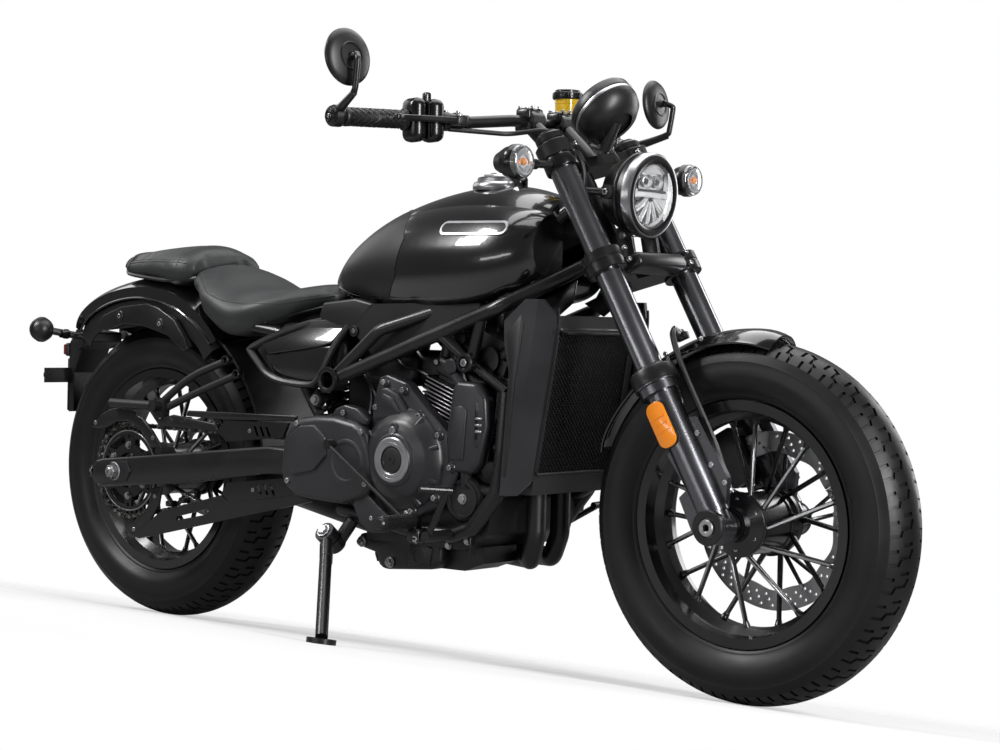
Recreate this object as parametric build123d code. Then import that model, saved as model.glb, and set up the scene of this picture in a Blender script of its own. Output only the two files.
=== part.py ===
"""Mid-size cruiser motorcycle with a laced-look cast wheel at each end.

Every piece is drawn with the machine upright: X forward, Y to its left, Z up,
and the origin on the ground midway between the axles.  The drive chain, the
shift lever and the side stand are on its right.  At the end the whole machine
is leaned onto its side stand and set down on Z = 0.
"""
from build123d import *
import math
import os

# ------------------------------------------------------------ driving sizes, mm
WHEELBASE = 1485.0
FRONT_RADIUS = 320.8
REAR_RADIUS = 322.2
FRONT_TYRE_WIDTH = 127.0
REAR_TYRE_WIDTH = 149.0
FRONT_RIM_WIDTH = 96.0
REAR_RIM_WIDTH = 110.0
FLANGE_RADIUS = 217.0
LEAN = 10.0
RAKE = 30.2
FORK_SPREAD = 118.0
FORK_FOOT_X = 751.0
STEM_SETBACK = 55.0
AXLE_DIAMETER = 20.0
AXLE_BORE = 12.0
RUNNING_GAP = 0.1
MAIN_TUBE = 28.0
BAR_DIAMETER = 22.0
SPOKES = 20
RING_BORE = 32.0
SIDES = ((-1, "right"), (1, "left"))
REAR_CROWN = 94.0
ROW_SHIFT = (14.934, 194.02)
PIPE_DIAMETER = 38.0
CAP_PLACE = (146, 0)
CAP_HINGE = Vector(197, 0, 935.5)

FRONT_AXLE = Vector(WHEELBASE / 2, 0, FRONT_RADIUS)
REAR_AXLE = Vector(-WHEELBASE / 2, 0, REAR_RADIUS)
ACROSS = Vector(0, 1, 0)

# The fork's own directions: up along the legs, and ahead square to them.
FORK_UP = Vector(-math.sin(math.radians(RAKE)), 0, math.cos(math.radians(RAKE)))
FORK_AHEAD = Vector(math.cos(math.radians(RAKE)), 0, math.sin(math.radians(RAKE)))

pieces = {}


# ------------------------------------------------------------------ small tools
def bends(points, largest):
    """The arc for each corner of a route: as large as its shorter run allows."""
    radii = []
    for before, corner, after in zip(points, points[1:], points[2:]):
        arriving = corner - before
        leaving = after - corner
        half_turn = math.radians(arriving.get_angle(leaving)) / 2
        room = 0.45 * min(arriving.length, leaving.length) / math.tan(half_turn)
        radii.append(min(room, largest))
    return radii


def rod(points, diameter, bend=5000.0):
    """A round bar along straight runs joined by arcs, none larger than bend."""
    points = [Vector(*p) if isinstance(p, tuple) else p for p in points]
    path = Polyline(*points)
    if len(points) > 2:
        path = FilletPolyline(*points, radius=bends(points, bend))
    section = Plane(origin=path @ 0, z_dir=path % 0) * Circle(diameter / 2)
    return sweep(section, path=path)


def barrel(start, end, diameter, bore=0.0):
    """A cylinder from one point to another, hollow where it has a bore."""
    start = Vector(*start) if isinstance(start, tuple) else start
    end = Vector(*end) if isinstance(end, tuple) else end
    plane = Plane(origin=start, z_dir=end - start)
    ring = Circle(diameter / 2)
    if bore:
        ring = ring - Circle(bore / 2)
    return extrude(plane * ring, amount=(end - start).length)


def plate(outline, y_low, y_high, corner=0.0):
    """A flat slab standing along the machine, from its outline in X and Z."""
    wire = Polyline(*[(x, y_low, z) for x, z in outline], close=True)
    slab = extrude(make_face(wire), amount=y_high - y_low, dir=(0, 1, 0))
    if corner:
        slab = fillet(slab.edges().filter_by(Axis.Y), corner)
    return slab


def turned(profile, centre, axis=ACROSS, start=None, sweep_angle=360.0):
    """A solid of revolution from a half section of (radius, place along the axis)."""
    axis = Vector(*axis) if isinstance(axis, tuple) else axis
    if start is None:
        start = Vector(0, 0, 1) if abs(axis.Z) < 0.9 * axis.length else Vector(1, 0, 0)
        start = start - axis * (start.dot(axis) / axis.dot(axis))
    plane = Plane(origin=centre, x_dir=start, z_dir=start.cross(axis))
    face = make_face(plane * Polyline(*profile, close=True))
    return revolve(face, Axis(centre, axis), sweep_angle)


def mirrored(shape):
    """The shape and its twin on the machine's other side."""
    return [shape, shape.mirror(Plane.XZ)]


def both_sides(shape):
    return Compound(mirrored(shape))


def fused(shapes):
    whole = shapes[0]
    for shape in shapes[1:]:
        whole = whole + shape
    return whole


def fork_point(height, side=0.0, ahead=0.0):
    """The point of the fork's plane at a height, then square ahead of it."""
    x = FORK_FOOT_X - (height - FRONT_RADIUS) * math.tan(math.radians(RAKE))
    return Vector(x, side, height) + FORK_AHEAD * ahead


def stem_point(height):
    """The point of the steering axis at a height."""
    x = fork_point(height).X - STEM_SETBACK / math.cos(math.radians(RAKE))
    return Vector(x, 0, height)


def angled(centre, radius, degrees, y):
    """A point on a circle about an axle: 0 is ahead, 90 is above."""
    turn = math.radians(degrees)
    return Vector(centre.X + radius * math.cos(turn), y, centre.Z + radius * math.sin(turn))


# ----------------------------------------------------------------------- wheels
DRUM_RADIUS = 55.0
DISC_SEAT = 44.0
FLANGE_Y = 42.0
SPOKE_ROOT = 48.0
SPOKE_TIP = 188.0
SPOKE_SPLAY = 22.0
SPROCKET_ARMS = 5
SPROCKET_PHASE = 0.0


# Turns from the tread's middle at which the crown's facets meet; the machine rests on the second.
CROWN_TURNS = (24.0, LEAN)


def tyre(axle, radius, width, rim_width):
    """A tyre: bead, bulging sidewall and round crown, in a few flat bands."""
    shoulder = Vector(0.40 * width, radius - 21.0)
    wall = Vector(width / 2, FLANGE_RADIUS + 45.0)
    foot = Vector(rim_width / 2 - 2.0, FLANGE_RADIUS + 2.5)
    bow = ThreePointArc(foot, wall, shoulder)
    side = [(rim_width / 2 - 12.0, FLANGE_RADIUS + 1.0), (foot.X, foot.Y)]
    side += [((bow @ part).X, (bow @ part).Y) for part in (0.33, 0.67, 1.0)]
    arc = (shoulder.X ** 2 + 21.0 ** 2) / 42.0
    for turn in CROWN_TURNS:
        tilt = math.radians(turn)
        side.append((arc * math.sin(tilt), radius - arc * (1 - math.cos(tilt))))
    outline = side + [(-y, r) for y, r in reversed(side)]
    plane = Plane(origin=axle, x_dir=(0, 1, 0), z_dir=(-1, 0, 0))
    face = make_face(plane * Polyline(*outline, close=True))
    return revolve(face, Axis(axle, ACROSS), 360)


def rim(axle, rim_width, hub_left, hub_right, phase):
    """The rim barrel, hub and splayed spokes as one casting."""
    half = rim_width / 2
    section = [(FLANGE_RADIUS, half), (FLANGE_RADIUS, half - 5), (206, half - 10),
               (203, 0.45 * half), (190, 0.3 * half), (190, -0.3 * half),
               (203, -0.45 * half), (206, 10 - half), (FLANGE_RADIUS, 5 - half),
               (FLANGE_RADIUS, -half), (199, -half), (196, -0.5 * half),
               (183, -0.25 * half), (183, 0.25 * half), (196, 0.5 * half), (199, half)]
    bore = AXLE_DIAMETER / 2 + RUNNING_GAP
    hub = [(bore, -hub_right), (24, -hub_right), (24, 8 - hub_right), (32, 8 - hub_right),
           (32, -60), (DRUM_RADIUS, -52), (DRUM_RADIUS, 46), (62, 52), (62, 60),
           (DISC_SEAT - 0.5, 60), (DISC_SEAT - 0.5, hub_left), (bore, hub_left)]
    wheel = [turned(section, axle), turned(hub, axle)]
    for number in range(SPOKES):
        near = 1 if number % 2 else -1
        tip_angle = phase + 360.0 * number / SPOKES
        root = angled(axle, SPOKE_ROOT, tip_angle + near * SPOKE_SPLAY, near * FLANGE_Y)
        tip = angled(axle, SPOKE_TIP, tip_angle, near * 5.0)
        wheel.append(barrel(root, tip, 9.0))
    return fused(wheel)


def disc(axle, y, outer, inner, thickness, arms=5):
    """A brake disc on its arms, bolted to the hub."""
    ring = barrel(axle + ACROSS * y, axle + ACROSS * (y + thickness), 2 * outer, 2 * inner)
    boss = barrel(axle + ACROSS * y, axle + ACROSS * (y + thickness), 112, 2 * DISC_SEAT)
    solids = [ring, boss]
    for number in range(arms):
        turn = 360.0 * number / arms
        root = angled(axle, 52, turn, y + thickness / 2)
        tip = angled(axle, inner + 6, turn + 20, y + thickness / 2)
        solids.append(barrel(root, tip, thickness))
    return fused(solids)


def build_wheels():
    pieces["front_tyre"] = tyre(FRONT_AXLE, FRONT_RADIUS, FRONT_TYRE_WIDTH, FRONT_RIM_WIDTH)
    pieces["front_rim"] = rim(FRONT_AXLE, FRONT_RIM_WIDTH, 74.0, 84.0, 17.0)
    pieces["front_disc"] = disc(FRONT_AXLE, 68.5, 160.0, 122.0, 5.0)
    pieces["rear_tyre"] = tyre(REAR_AXLE, REAR_RADIUS, REAR_TYRE_WIDTH, REAR_RIM_WIDTH)
    pieces["rear_rim"] = rim(REAR_AXLE, REAR_RIM_WIDTH, 90.0, 128.0, 5.0)
    pieces["rear_disc"] = disc(REAR_AXLE, 84.5, 110.0, 82.0, 5.0)
    carrier = [(32.5, -118), (46, -118), (60, -138), (86, -139), (86, -146), (32.5, -146)]
    sprocket = turned(carrier, REAR_AXLE)
    for number in range(SPROCKET_ARMS):
        window = angled(REAR_AXLE, 62, SPROCKET_PHASE + 360.0 * number / SPROCKET_ARMS, -150)
        sprocket = sprocket - barrel(window, window + ACROSS * 40, 26)
    pieces["rear_sprocket"] = sprocket
    pieces["front_axle"] = fused([
        barrel(FRONT_AXLE - ACROSS * 146, FRONT_AXLE + ACROSS * 146, AXLE_DIAMETER, AXLE_BORE),
        barrel(FRONT_AXLE - ACROSS * 98, FRONT_AXLE - ACROSS * 85, 34, 16),
        barrel(FRONT_AXLE + ACROSS * 75, FRONT_AXLE + ACROSS * 98, 34, 16)])
    pieces["rear_axle"] = fused([
        barrel(REAR_AXLE - ACROSS * 192, REAR_AXLE + ACROSS * 192, AXLE_DIAMETER),
        barrel(REAR_AXLE - ACROSS * 158, REAR_AXLE - ACROSS * 129, 32),
        barrel(REAR_AXLE + ACROSS * 91, REAR_AXLE + ACROSS * 158, 32),
        barrel(REAR_AXLE - ACROSS * 189, REAR_AXLE - ACROSS * 184, 36),
        barrel(REAR_AXLE + ACROSS * 184, REAR_AXLE + ACROSS * 189, 36)])


# ----------------------------------------------------------------- steered parts
CLAMP_LOW = 771.0
CLAMP_TOP = 972.0
COLLAR = 583.0
FORK_TOP = 1000.0


def beside_stem(height):
    """The point of the steering axis level with a height on the fork legs."""
    return fork_point(height) - FORK_AHEAD * STEM_SETBACK


# height on the legs, depth along them, ring diameter
YOKES = [(CLAMP_LOW, 38, 68),
         (CLAMP_TOP, 26, 64)]


def build_fork():
    whole = barrel(beside_stem(CLAMP_LOW - 20), beside_stem(CLAMP_TOP + 16), 28)
    for height, deep, size in YOKES:
        middle = beside_stem(height)
        half = FORK_UP * (deep / 2)
        web = Plane(origin=middle - half * 0.8, x_dir=FORK_AHEAD, z_dir=FORK_UP)
        for side in (-1, 1):
            leg = fork_point(height, side * FORK_SPREAD)
            whole = whole + barrel(leg - half, leg + half, size)
            arm = Polyline((-28, 0), (-16, side * 42), (STEM_SETBACK - 22, side * 108),
                           (STEM_SETBACK + 22, side * 108), (STEM_SETBACK - 4, side * 30),
                           (34, 0), close=True)
            whole = whole + extrude(web * make_face(arm), amount=deep * 0.8)
    for side in (-1, 1):
        foot = Vector(256, side * 46, 1032)
        whole = whole + barrel(foot, beside_stem(CLAMP_TOP) + Vector(16, side * 46, 14), 34)
        whole = whole + barrel((256, side * 28, 1038), (256, side * 64, 1038), 44)
        whole = whole - barrel(fork_point(600, side * FORK_SPREAD),
                               fork_point(1100, side * FORK_SPREAD), 50)
    pieces["fork_clamps"] = whole - pieces["handlebar"]
    tubes = []
    legs = []
    for side in (-1, 1):
        reach = side * FORK_SPREAD
        foot = fork_point(FRONT_RADIUS, reach)
        tubes.append(barrel(fork_point(COLLAR, reach), fork_point(FORK_TOP, reach), 50)
                     + barrel(fork_point(FORK_TOP, reach), fork_point(FORK_TOP + 6, reach), 36))
        leg = fused([barrel(foot + FORK_UP * 24, fork_point(COLLAR, reach), 55),
                     barrel(fork_point(COLLAR - 26, reach), fork_point(COLLAR, reach), 82),
                     barrel(fork_point(COLLAR - 40, reach), fork_point(COLLAR - 26, reach), 74),
                     barrel(FRONT_AXLE + ACROSS * side * 98, FRONT_AXLE + ACROSS * side * 144, 60),
                     barrel(foot + FORK_UP * 8, foot + FORK_UP * 60, 48)])
        web = sorted((side * 104, side * 116))
        leg = leg + plate([(640, 500), (695, 509), (762, 406), (758, 350), (700, 360)], *web, 4)
        leg = leg + plate([(634, 440), (678, 380), (662, 365), (691, 308), (740, 330), (700, 470)],
                          *web, 4)
        legs.append(leg - barrel(FRONT_AXLE - ACROSS * 160, FRONT_AXLE + ACROSS * 160,
                                 AXLE_DIAMETER))
    pieces["fork_tubes"] = Compound(tubes)
    pieces["fork_legs"] = Compound(legs)


def fender_shell(centre, rise, half_width, drop, wall, start, stop):
    """A crowned mudguard about an axle, between two angles."""
    def arch(shrink):
        return [(rise - drop, half_width - shrink), (rise - 0.52 * drop, half_width - 1 - shrink),
                (rise - 0.18 * drop - shrink, 0.68 * half_width), (rise - shrink, 0)]
    outer = arch(0)
    inner = arch(wall)
    left = outer + [(r, -y) for r, y in reversed(outer[:-1])]
    right = [(r, -y) for r, y in inner] + [(r, y) for r, y in reversed(inner[:-1])]
    turn = math.radians(start)
    ray = Vector(math.cos(turn), 0, math.sin(turn))
    return turned(left + right, centre, ACROSS * -1, ray, stop - start)


def build_front_fender():
    guard_shell = fender_shell(FRONT_AXLE, 342.0, 65.0, 28.0, 3.0, 80.5, 160.0)
    stays = [rod([angled(FRONT_AXLE, 318, 118, side * 63), angled(FRONT_AXLE, 306, 118, side * 76),
                  fork_point(520, side * 92, 10)], 10, 12) for side in (-1, 1)]
    pieces["front_fender"] = Compound([guard_shell] + stays)


BAR_END = (131, 440, 1019)
BAR_BEND = (219, 190, 1025)


def build_bars():
    ends = [[Vector(BAR_END[0], side * BAR_END[1], BAR_END[2]),
             Vector(BAR_BEND[0], side * BAR_BEND[1], BAR_BEND[2]),
             Vector(250, side * 90, 1036)] for side in (-1, 1)]
    pieces["handlebar"] = rod(ends[0] + ends[1][::-1], BAR_DIAMETER, 60)
    controls = []
    for side in (-1, 1):
        end = Vector(BAR_END[0], side * BAR_END[1], BAR_END[2])
        inner = Vector(BAR_BEND[0], side * BAR_BEND[1], BAR_BEND[2])
        along = (inner - end).normalized()
        grip = barrel(end + along * 14, end + along * 138, 35, BAR_DIAMETER)
        weight = barrel(end - along * 16, end + along * 12, 38, BAR_DIAMETER)
        pod = Plane(origin=end + along * 139, z_dir=along, x_dir=(0, 0, 1))
        housing = extrude(pod * RectangleRounded(82, 52, 18), amount=72)
        housing = housing - barrel(end, inner, BAR_DIAMETER)
        perch = barrel(end + along * 214, end + along * 252, 34, BAR_DIAMETER)
        ahead = Vector(along.Y * side, -along.X * side, 0) * -1
        root = end + along * 232 + ahead * 30
        lever = rod([root, root + ahead * 16 - along * 24, end + along * 104 + ahead * 48], 13, 14)
        arm = barrel(end + along * 232 + ahead * 12, root + ahead * 4, 22)
        controls.append(fused([grip, weight, housing, perch, arm, lever]))
    pieces["bar_controls"] = Compound(controls)


def build_mirrors():
    faces = []
    for side in (-1, 1):
        outward = Vector(math.cos(math.radians(6)), side * math.sin(math.radians(6)), 0.12)
        centre = Vector(182, side * 465, 1119)
        dish = turned([(0, -8), (50, -8), (51, -2), (44, 5), (20, 9), (0, 10)], centre, outward)
        arm = rod([(BAR_END[0] + 4, side * (BAR_END[1] + 4), BAR_END[2] + 12),
                   (204, side * 474, 1054), (213, side * 476, 1106), centre + outward * 6], 11, 9)
        faces.append(dish + arm)
    pieces["mirrors"] = Compound(faces)


LAMP = Vector(478, 0, 900)


def build_lamps():
    tilt = Vector(1, 0, -0.08).normalized()
    bowl = [(0, -70), (30, -66), (58, -44), (70, -18), (74, -6), (76, 18), (72, 28), (66, 24),
            (64, 16), (0, 16)]
    mount = LAMP - tilt * 14
    lamp = turned(bowl, LAMP, tilt)
    for side in (-1, 1):
        lamp = lamp + barrel(mount + ACROSS * side * 68, mount + ACROSS * side * 86, 26)
        lamp = lamp + rod([mount + ACROSS * side * 82, fork_point(900, side * 96, 6)], 14)
    pieces["headlamp"] = lamp
    face = Vector(-0.72, 0, 0.69).normalized()
    gauge = [(0, -34), (36, -32), (56, -14), (62, 6), (62, 22), (56, 26), (0, 24)]
    dial = Vector(398, 0, 1054)
    pieces["instrument"] = turned(gauge, dial, face) + barrel(dial - face * 26, (392, 0, 985), 26)
    lights = []
    for side in (-1, 1):
        middle = Vector(399, side * 263, 944)
        body = turned([(0, -44), (16, -40), (27, -18), (30, -4), (30, 8), (24, 13), (0, 15)],
                      middle, (1, 0, 0))
        stalk = rod([middle - Vector(16, 0, 0), Vector(376, side * 180, 946),
                     fork_point(948, side * (FORK_SPREAD + 22))], 14)
        lights.append(body + stalk)
    pieces["front_indicators"] = Compound(lights)


def build_front_brake():
    disc_y = 71.0
    pad_centre = angled(FRONT_AXLE, 136, 128, disc_y)
    body = Plane(origin=pad_centre - ACROSS * 22, x_dir=FORK_UP, z_dir=ACROSS)
    block = extrude(body * RectangleRounded(104, 56, 12), amount=48)
    slot = barrel(FRONT_AXLE + ACROSS * (disc_y - 8), FRONT_AXLE + ACROSS * (disc_y + 8), 332)
    pieces["front_caliper"] = block - slot
    cup = turned([(0, -26), (23, -24), (25, 8), (29, 8), (29, 26), (0, 26)],
                 Vector(189, 150, 1092), (0, 0, 1))
    pieces["brake_reservoir"] = cup + barrel((206, 150, 1036), (189, 150, 1070), 18)
    pieces["brake_hose"] = rod([angled(FRONT_AXLE, 356, 112, -52), fork_point(640, -70, 44),
                                fork_point(560, -92, 44), fork_point(420, -92, 44),
                                fork_point(372, -90, 30)], 8, 40)
    cables = []
    for start_y, side in ((-232, -1), (236, 1)):
        cables.append(rod([(214, start_y, 1010), (262, side * 120, 1008), (330, side * 70, 1020),
                           (392, side * 60, 960), (390, side * 52, 880)], 9, 60))
    pieces["bar_cables"] = Compound(cables)


def build_steering():
    build_bars()
    build_fork()
    build_front_fender()
    build_mirrors()
    build_lamps()
    build_front_brake()


# ------------------------------------------------------------------------- frame
def build_frame():
    low = beside_stem(CLAMP_LOW + 24)
    top = beside_stem(CLAMP_TOP - 16)
    head = barrel(low, top, 60, 28 + 2 * RUNNING_GAP)
    spine = rod([stem_point(845) - Vector(20, 0, 0), (60, 0, 730), (-250, 0, 645)], 50, 120)
    spine = spine - barrel(low - FORK_UP * 40, top + FORK_UP * 40, 59)
    pieces["frame_spine"] = head + spine
    trellis = []
    cradle = []
    rails = []
    for side in (-1, 1):
        outer = side * 150
        lower = rod([(-141, outer, 539), (33, outer, 602), (277, outer, 690),
                     low + FORK_UP * 20 + Vector(6, side * 34, 0)], MAIN_TUBE, 60)
        upper = rod([(-138, outer, 545), (-20, outer, 640), (90, side * 114, 677),
                     stem_point(880) + Vector(-10, side * 34, 0)], MAIN_TUBE - 4, 60)
        boss = barrel((197, side * 118, 584), (197, side * 152, 584), 34)
        ring = barrel((-141, side * 128, 539), (-141, side * 168, 539), 41)
        struts = [rod([(134, outer, 636), (197, side * 132, 584), (285, side * 132, 533)], 22),
                  rod([(237, outer, 680), (197, side * 132, 584)], 22)]
        whole = fused([lower, upper, boss, ring] + struts)
        trellis.append(whole - barrel((-141, side * 180, 539), (-141, side * 120, 539), RING_BORE))
        cradle.append(rod([(285, side * 132, 533), (282, side * 138, 420), (274, side * 140, 345),
                           (216, side * 140, 276), (168, side * 140, 260), (60, side * 140, 262),
                           (-120, side * 140, 290)], 30, 30))
        rails.append(rod([(-141, side * 111, 560), (-330, side * 112, 628), (-480, side * 121, 648)],
                         24, 80) + rod([(-330, side * 112, 628), (-210, side * 118, 470)], 22))
    pieces["trellis_frame"] = Compound(trellis)
    pieces["engine_cradle"] = Compound(cradle)
    pieces["seat_subframe"] = Compound(rails)


def build_swingarm():
    outline = [(-814, 311), (-798, 340), (-782, 344), (-536, 374), (-286, 402), (-186, 400),
               (-160, 375), (-186, 350), (-286, 346), (-534, 310), (-786, 285), (-801, 290)]
    solids = [plate(outline, *sorted((side * 158, side * 184)), 4) for side in (-1, 1)]
    solids.append(barrel((-200, -158, 375), (-200, 158, 375), 46))
    solids.append(barrel((-330, -158, 375), (-330, 158, 375), 44))
    drilling = barrel(REAR_AXLE - ACROSS * 200, REAR_AXLE + ACROSS * 200, AXLE_DIAMETER)
    pieces["swingarm"] = fused(solids) - drilling


CHAIN_Y = -142.0
FRONT_SPROCKET = Vector(-96, 0, 386)


def build_chain():
    """The chain as one fixed loop round both sprockets."""
    def belt(rear, front):
        gap = FRONT_SPROCKET - REAR_AXLE
        gap = Vector(gap.X, 0, gap.Z)
        slope = math.degrees(math.atan2(gap.Z, gap.X))
        swing = math.degrees(math.acos((rear - front) / gap.length))
        rear_top = angled(REAR_AXLE, rear, slope + swing, 0)
        rear_low = angled(REAR_AXLE, rear, slope - swing, 0)
        rear_far = angled(REAR_AXLE, rear, slope + 180, 0)
        front_top = angled(FRONT_SPROCKET, front, slope + swing, 0)
        front_low = angled(FRONT_SPROCKET, front, slope - swing, 0)
        front_far = angled(FRONT_SPROCKET, front, slope, 0)
        edges = [ThreePointArc(rear_top, rear_far, rear_low), Line(rear_low, front_low),
                 ThreePointArc(front_low, front_far, front_top), Line(front_top, rear_top)]
        return make_face(Curve(edges))
    loop = belt(105, 38) - belt(91.5, 24.5)
    pieces["drive_chain"] = extrude(loop.moved(Location((0, CHAIN_Y - 8, 0))), amount=16,
                                    dir=(0, 1, 0))


# Outlines in X and Z of the flat guards over and under the chain.
GUARDS = [[(-850, 410), (-822, 437), (-795, 450), (-763, 456), (-724, 452), (-685, 436),
           (-655, 411), (-622, 376), (-662, 376), (-676, 397), (-703, 419), (-736, 429),
           (-768, 426), (-800, 412), (-828, 408)],
          [(-622, 298), (-630, 258), (-655, 223), (-698, 193), (-720, 186), (-735, 198),
           (-703, 220), (-672, 242), (-656, 269), (-656, 291)],
          [(-434, 445), (-252, 449), (-268, 419), (-429, 402), (-456, 422)],
          [(-646, 436), (-633, 423), (-456, 422), (-462, 437), (-592, 449)],
          [(-547, 460), (-228, 465), (-236, 453), (-434, 446), (-552, 448)],
          [(-424, 318), (-246, 340), (-226, 308), (-417, 277), (-440, 296)],
          [(-621, 245), (-440, 292), (-417, 277), (-226, 307), (-184, 297), (-688, 182),
           (-714, 186)]]
GUARD_Y = -158.0


def build_chain_guards():
    plates = [plate(outline, GUARD_Y, GUARD_Y + 4) for outline in GUARDS]
    window = plate([(-576, 227), (-574, 234), (-480, 258), (-474, 254), (-486, 247)],
                   GUARD_Y - 1, GUARD_Y + 5)
    plates[-1] = plates[-1] - window
    pieces["chain_guards"] = fused(plates)


# ------------------------------------------------------------------------ engine
CYLINDER_TILT = 20.0
RADIATOR_LEAN = 0.166


def build_engine():
    case = [(-172, 300), (-172, 440), (-120, 475), (30, 480), (215, 400), (255, 330), (240, 262),
            (190, 232), (-60, 232), (-120, 250)]
    crankcase = plate(case, -128, 128, corner=14)
    crankcase = crankcase - Box(240, 60, 400).moved(Location((-182, -119, 380)))
    sump = plate([(-72, 200), (-66, 186), (160, 188), (205, 205), (205, 236), (-72, 236)], -92, 6)
    shaft = barrel(FRONT_SPROCKET - ACROSS * 154, FRONT_SPROCKET - ACROSS * 80, 26)
    teeth = barrel(FRONT_SPROCKET + ACROSS * (CHAIN_Y - 4), FRONT_SPROCKET + ACROSS * (CHAIN_Y + 4),
                   46)
    pieces["crankcase"] = fused([crankcase, sump, shaft, teeth])
    base = Location((132, 0, 440), (0, CYLINDER_TILT, 0))
    fins = [base * Pos(0, 0, 20 + 9.0 * row) * Box(172, 236, 3.5) for row in range(9)]
    pieces["cylinder_block"] = fused([base * Pos(0, 0, 60) * Box(150, 210, 110)] + fins)
    head = base * Pos(0, 0, 150) * Box(160, 230, 70)
    cover = base * Pos(0, 0, 200) * Box(140, 215, 32)
    caps = [base * Pos(side * 40, -116, 175) * Rot(90, 0, 0) * Cylinder(24, 12)
            for side in (-1, 1)]
    pieces["cylinder_head"] = fused([head, cover] + caps)
    disc_at = Vector(60, 0, 396)
    outline = [(-10, 390), (0, 455), (35, 545), (85, 530), (128, 484), (180, 455), (208, 390),
               (170, 330), (110, 300), (20, 300), (-4, 340)]
    dome = [(0, 129), (98, 129), (98, 158), (86, 178), (60, 188), (44, 190), (44, 197), (40, 200),
            (27, 200), (25, 196), (0, 196)]
    pieces["alternator_cover"] = (plate(outline, -168, -129, corner=10)
                                  + turned(dome, disc_at, ACROSS * -1))
    clutch = turned([(0, 129), (100, 129), (100, 160), (88, 176), (0, 180)], Vector(40, 0, 388))
    pieces["clutch_cover"] = clutch + plate([(-90, 310), (-60, 290), (150, 290), (190, 340),
                                             (150, 440), (-60, 440)], 129, 150, corner=8)
    guard_outline = [(-246, 361), (-234, 431), (-199, 463), (-104, 471), (-24, 456), (2, 381),
                     (-14, 319), (-74, 301), (-204, 307), (-234, 326)]
    hollow = Box(230, 40, 130).moved(Location((-120, -154, 385)))
    pieces["sprocket_cover"] = plate(guard_outline, -192, -152, corner=14) - hollow
    box = [(172, 395), (165, 440), (180, 535), (200, 545), (250, 536), (262, 505), (240, 395),
           (225, 380)]
    pieces["coolant_housing"] = plate(box, -165, -129, corner=8)


def leaning_slab(front_low, thick, z_low, z_high, half):
    """A slab across the machine that leans forward as it rises."""
    rise = z_high - z_low
    back = front_low - thick
    ahead = RADIATOR_LEAN * rise
    return plate([(front_low, z_low), (front_low + ahead, z_high), (back + ahead, z_high),
                  (back, z_low)], -half, half)


def build_cooling():
    core = leaning_slab(336, 28, 385, 645, 114)
    upper = leaning_slab(384, 40, 645, 676, 118)
    lower = leaning_slab(334, 34, 345, 385, 116)
    sides = [leaning_slab(339, 34, 372, 660, 132) - leaning_slab(400, 200, 300, 700, 113.5)]
    pieces["radiator"] = fused([core, upper, lower] + sides)
    cowls = []
    for side in (-1, 1):
        foot = Plane(origin=(0, 0, 340), x_dir=(1, 0, 0), z_dir=(0, 0, 1))
        wrap = Polyline((240, side * 165), (319, side * 165), (349, side * 141), (345, side * 136),
                        (317, side * 159), (240, side * 159), close=True)
        shell = extrude(foot * make_face(wrap), amount=370, dir=(RADIATOR_LEAN, 0, 1))
        shape = [(300, 664), (350, 706), (384, 706), (406, 668), (357, 378), (330, 346),
                 (299, 345), (303, 400), (314, 570), (302, 620)]
        cowls.append(shell & plate(shape, *sorted((side * 120, side * 170))))
    pieces["radiator_shrouds"] = Compound(cowls)


def build_exhaust():
    right = rod([(232, -37, 556), (285, -37, 500), (285, -37, 262), (264, -24, 214), (222, 24, 209),
                 (150, 48, 209), (60, 48, 209)], PIPE_DIAMETER, 34)
    left = rod([(232, 37, 556), (285, 37, 500), (285, 37, 262), (256, 52, 214), (210, 88, 209),
                (150, 90, 209), (60, 76, 209)], PIPE_DIAMETER, 34)
    collector = barrel((70, 60, 211), (-40, 76, 211), 44)
    pieces["exhaust_headers"] = fused([right, left, collector])
    link = rod([(-40, 76, 211), (-130, 120, 214), (-250, 232, 222)], 42, 60)
    can = barrel((-240, 238, 222), (-630, 242, 292), 104)
    tip = barrel((-630, 242, 292), (-676, 242, 300), 66, 48)
    pieces["muffler"] = fused([link, can, tip])


# ---------------------------------------------------------------------- bodywork
def loft_along(table, shape):
    """A smooth body through cross sections; each row is an X and its measures."""
    return loft([Plane(origin=(row[0], 0, 0), x_dir=(0, 1, 0), z_dir=(1, 0, 0))
                 * shape(*row[1:]) for row in table])


def tank_section(low, low_half, middle, half, shoulder, shoulder_half, top):
    """A closed section: flat floor, bulging sides and a crowned top."""
    right = [(low_half, low), (half, middle), (shoulder_half, shoulder)]
    sides = ThreePointArc(*right)
    other = ThreePointArc(*[(-y, z) for y, z in reversed(right)])
    crown = ThreePointArc(right[2], (0, top), (-shoulder_half, shoulder))
    floor = Line((-low_half, low), (low_half, low))
    return make_face(Curve([floor, sides, crown, other]))


# x, floor, its half width, widest height, half width, shoulder, its half width, top
TANK = [(-240, 716, 30, 730, 40, 746, 30, 756),
        (-200, 706, 56, 740, 72, 776, 52, 792),
        (-110, 696, 92, 750, 118, 826, 78, 852),
        (20, 690, 120, 762, 150, 868, 88, 900),
        (150, 692, 130, 774, 160, 880, 90, 921),
        (260, 706, 126, 788, 156, 876, 86, 911),
        (329, 750, 98, 806, 122, 862, 72, 886)]


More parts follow.
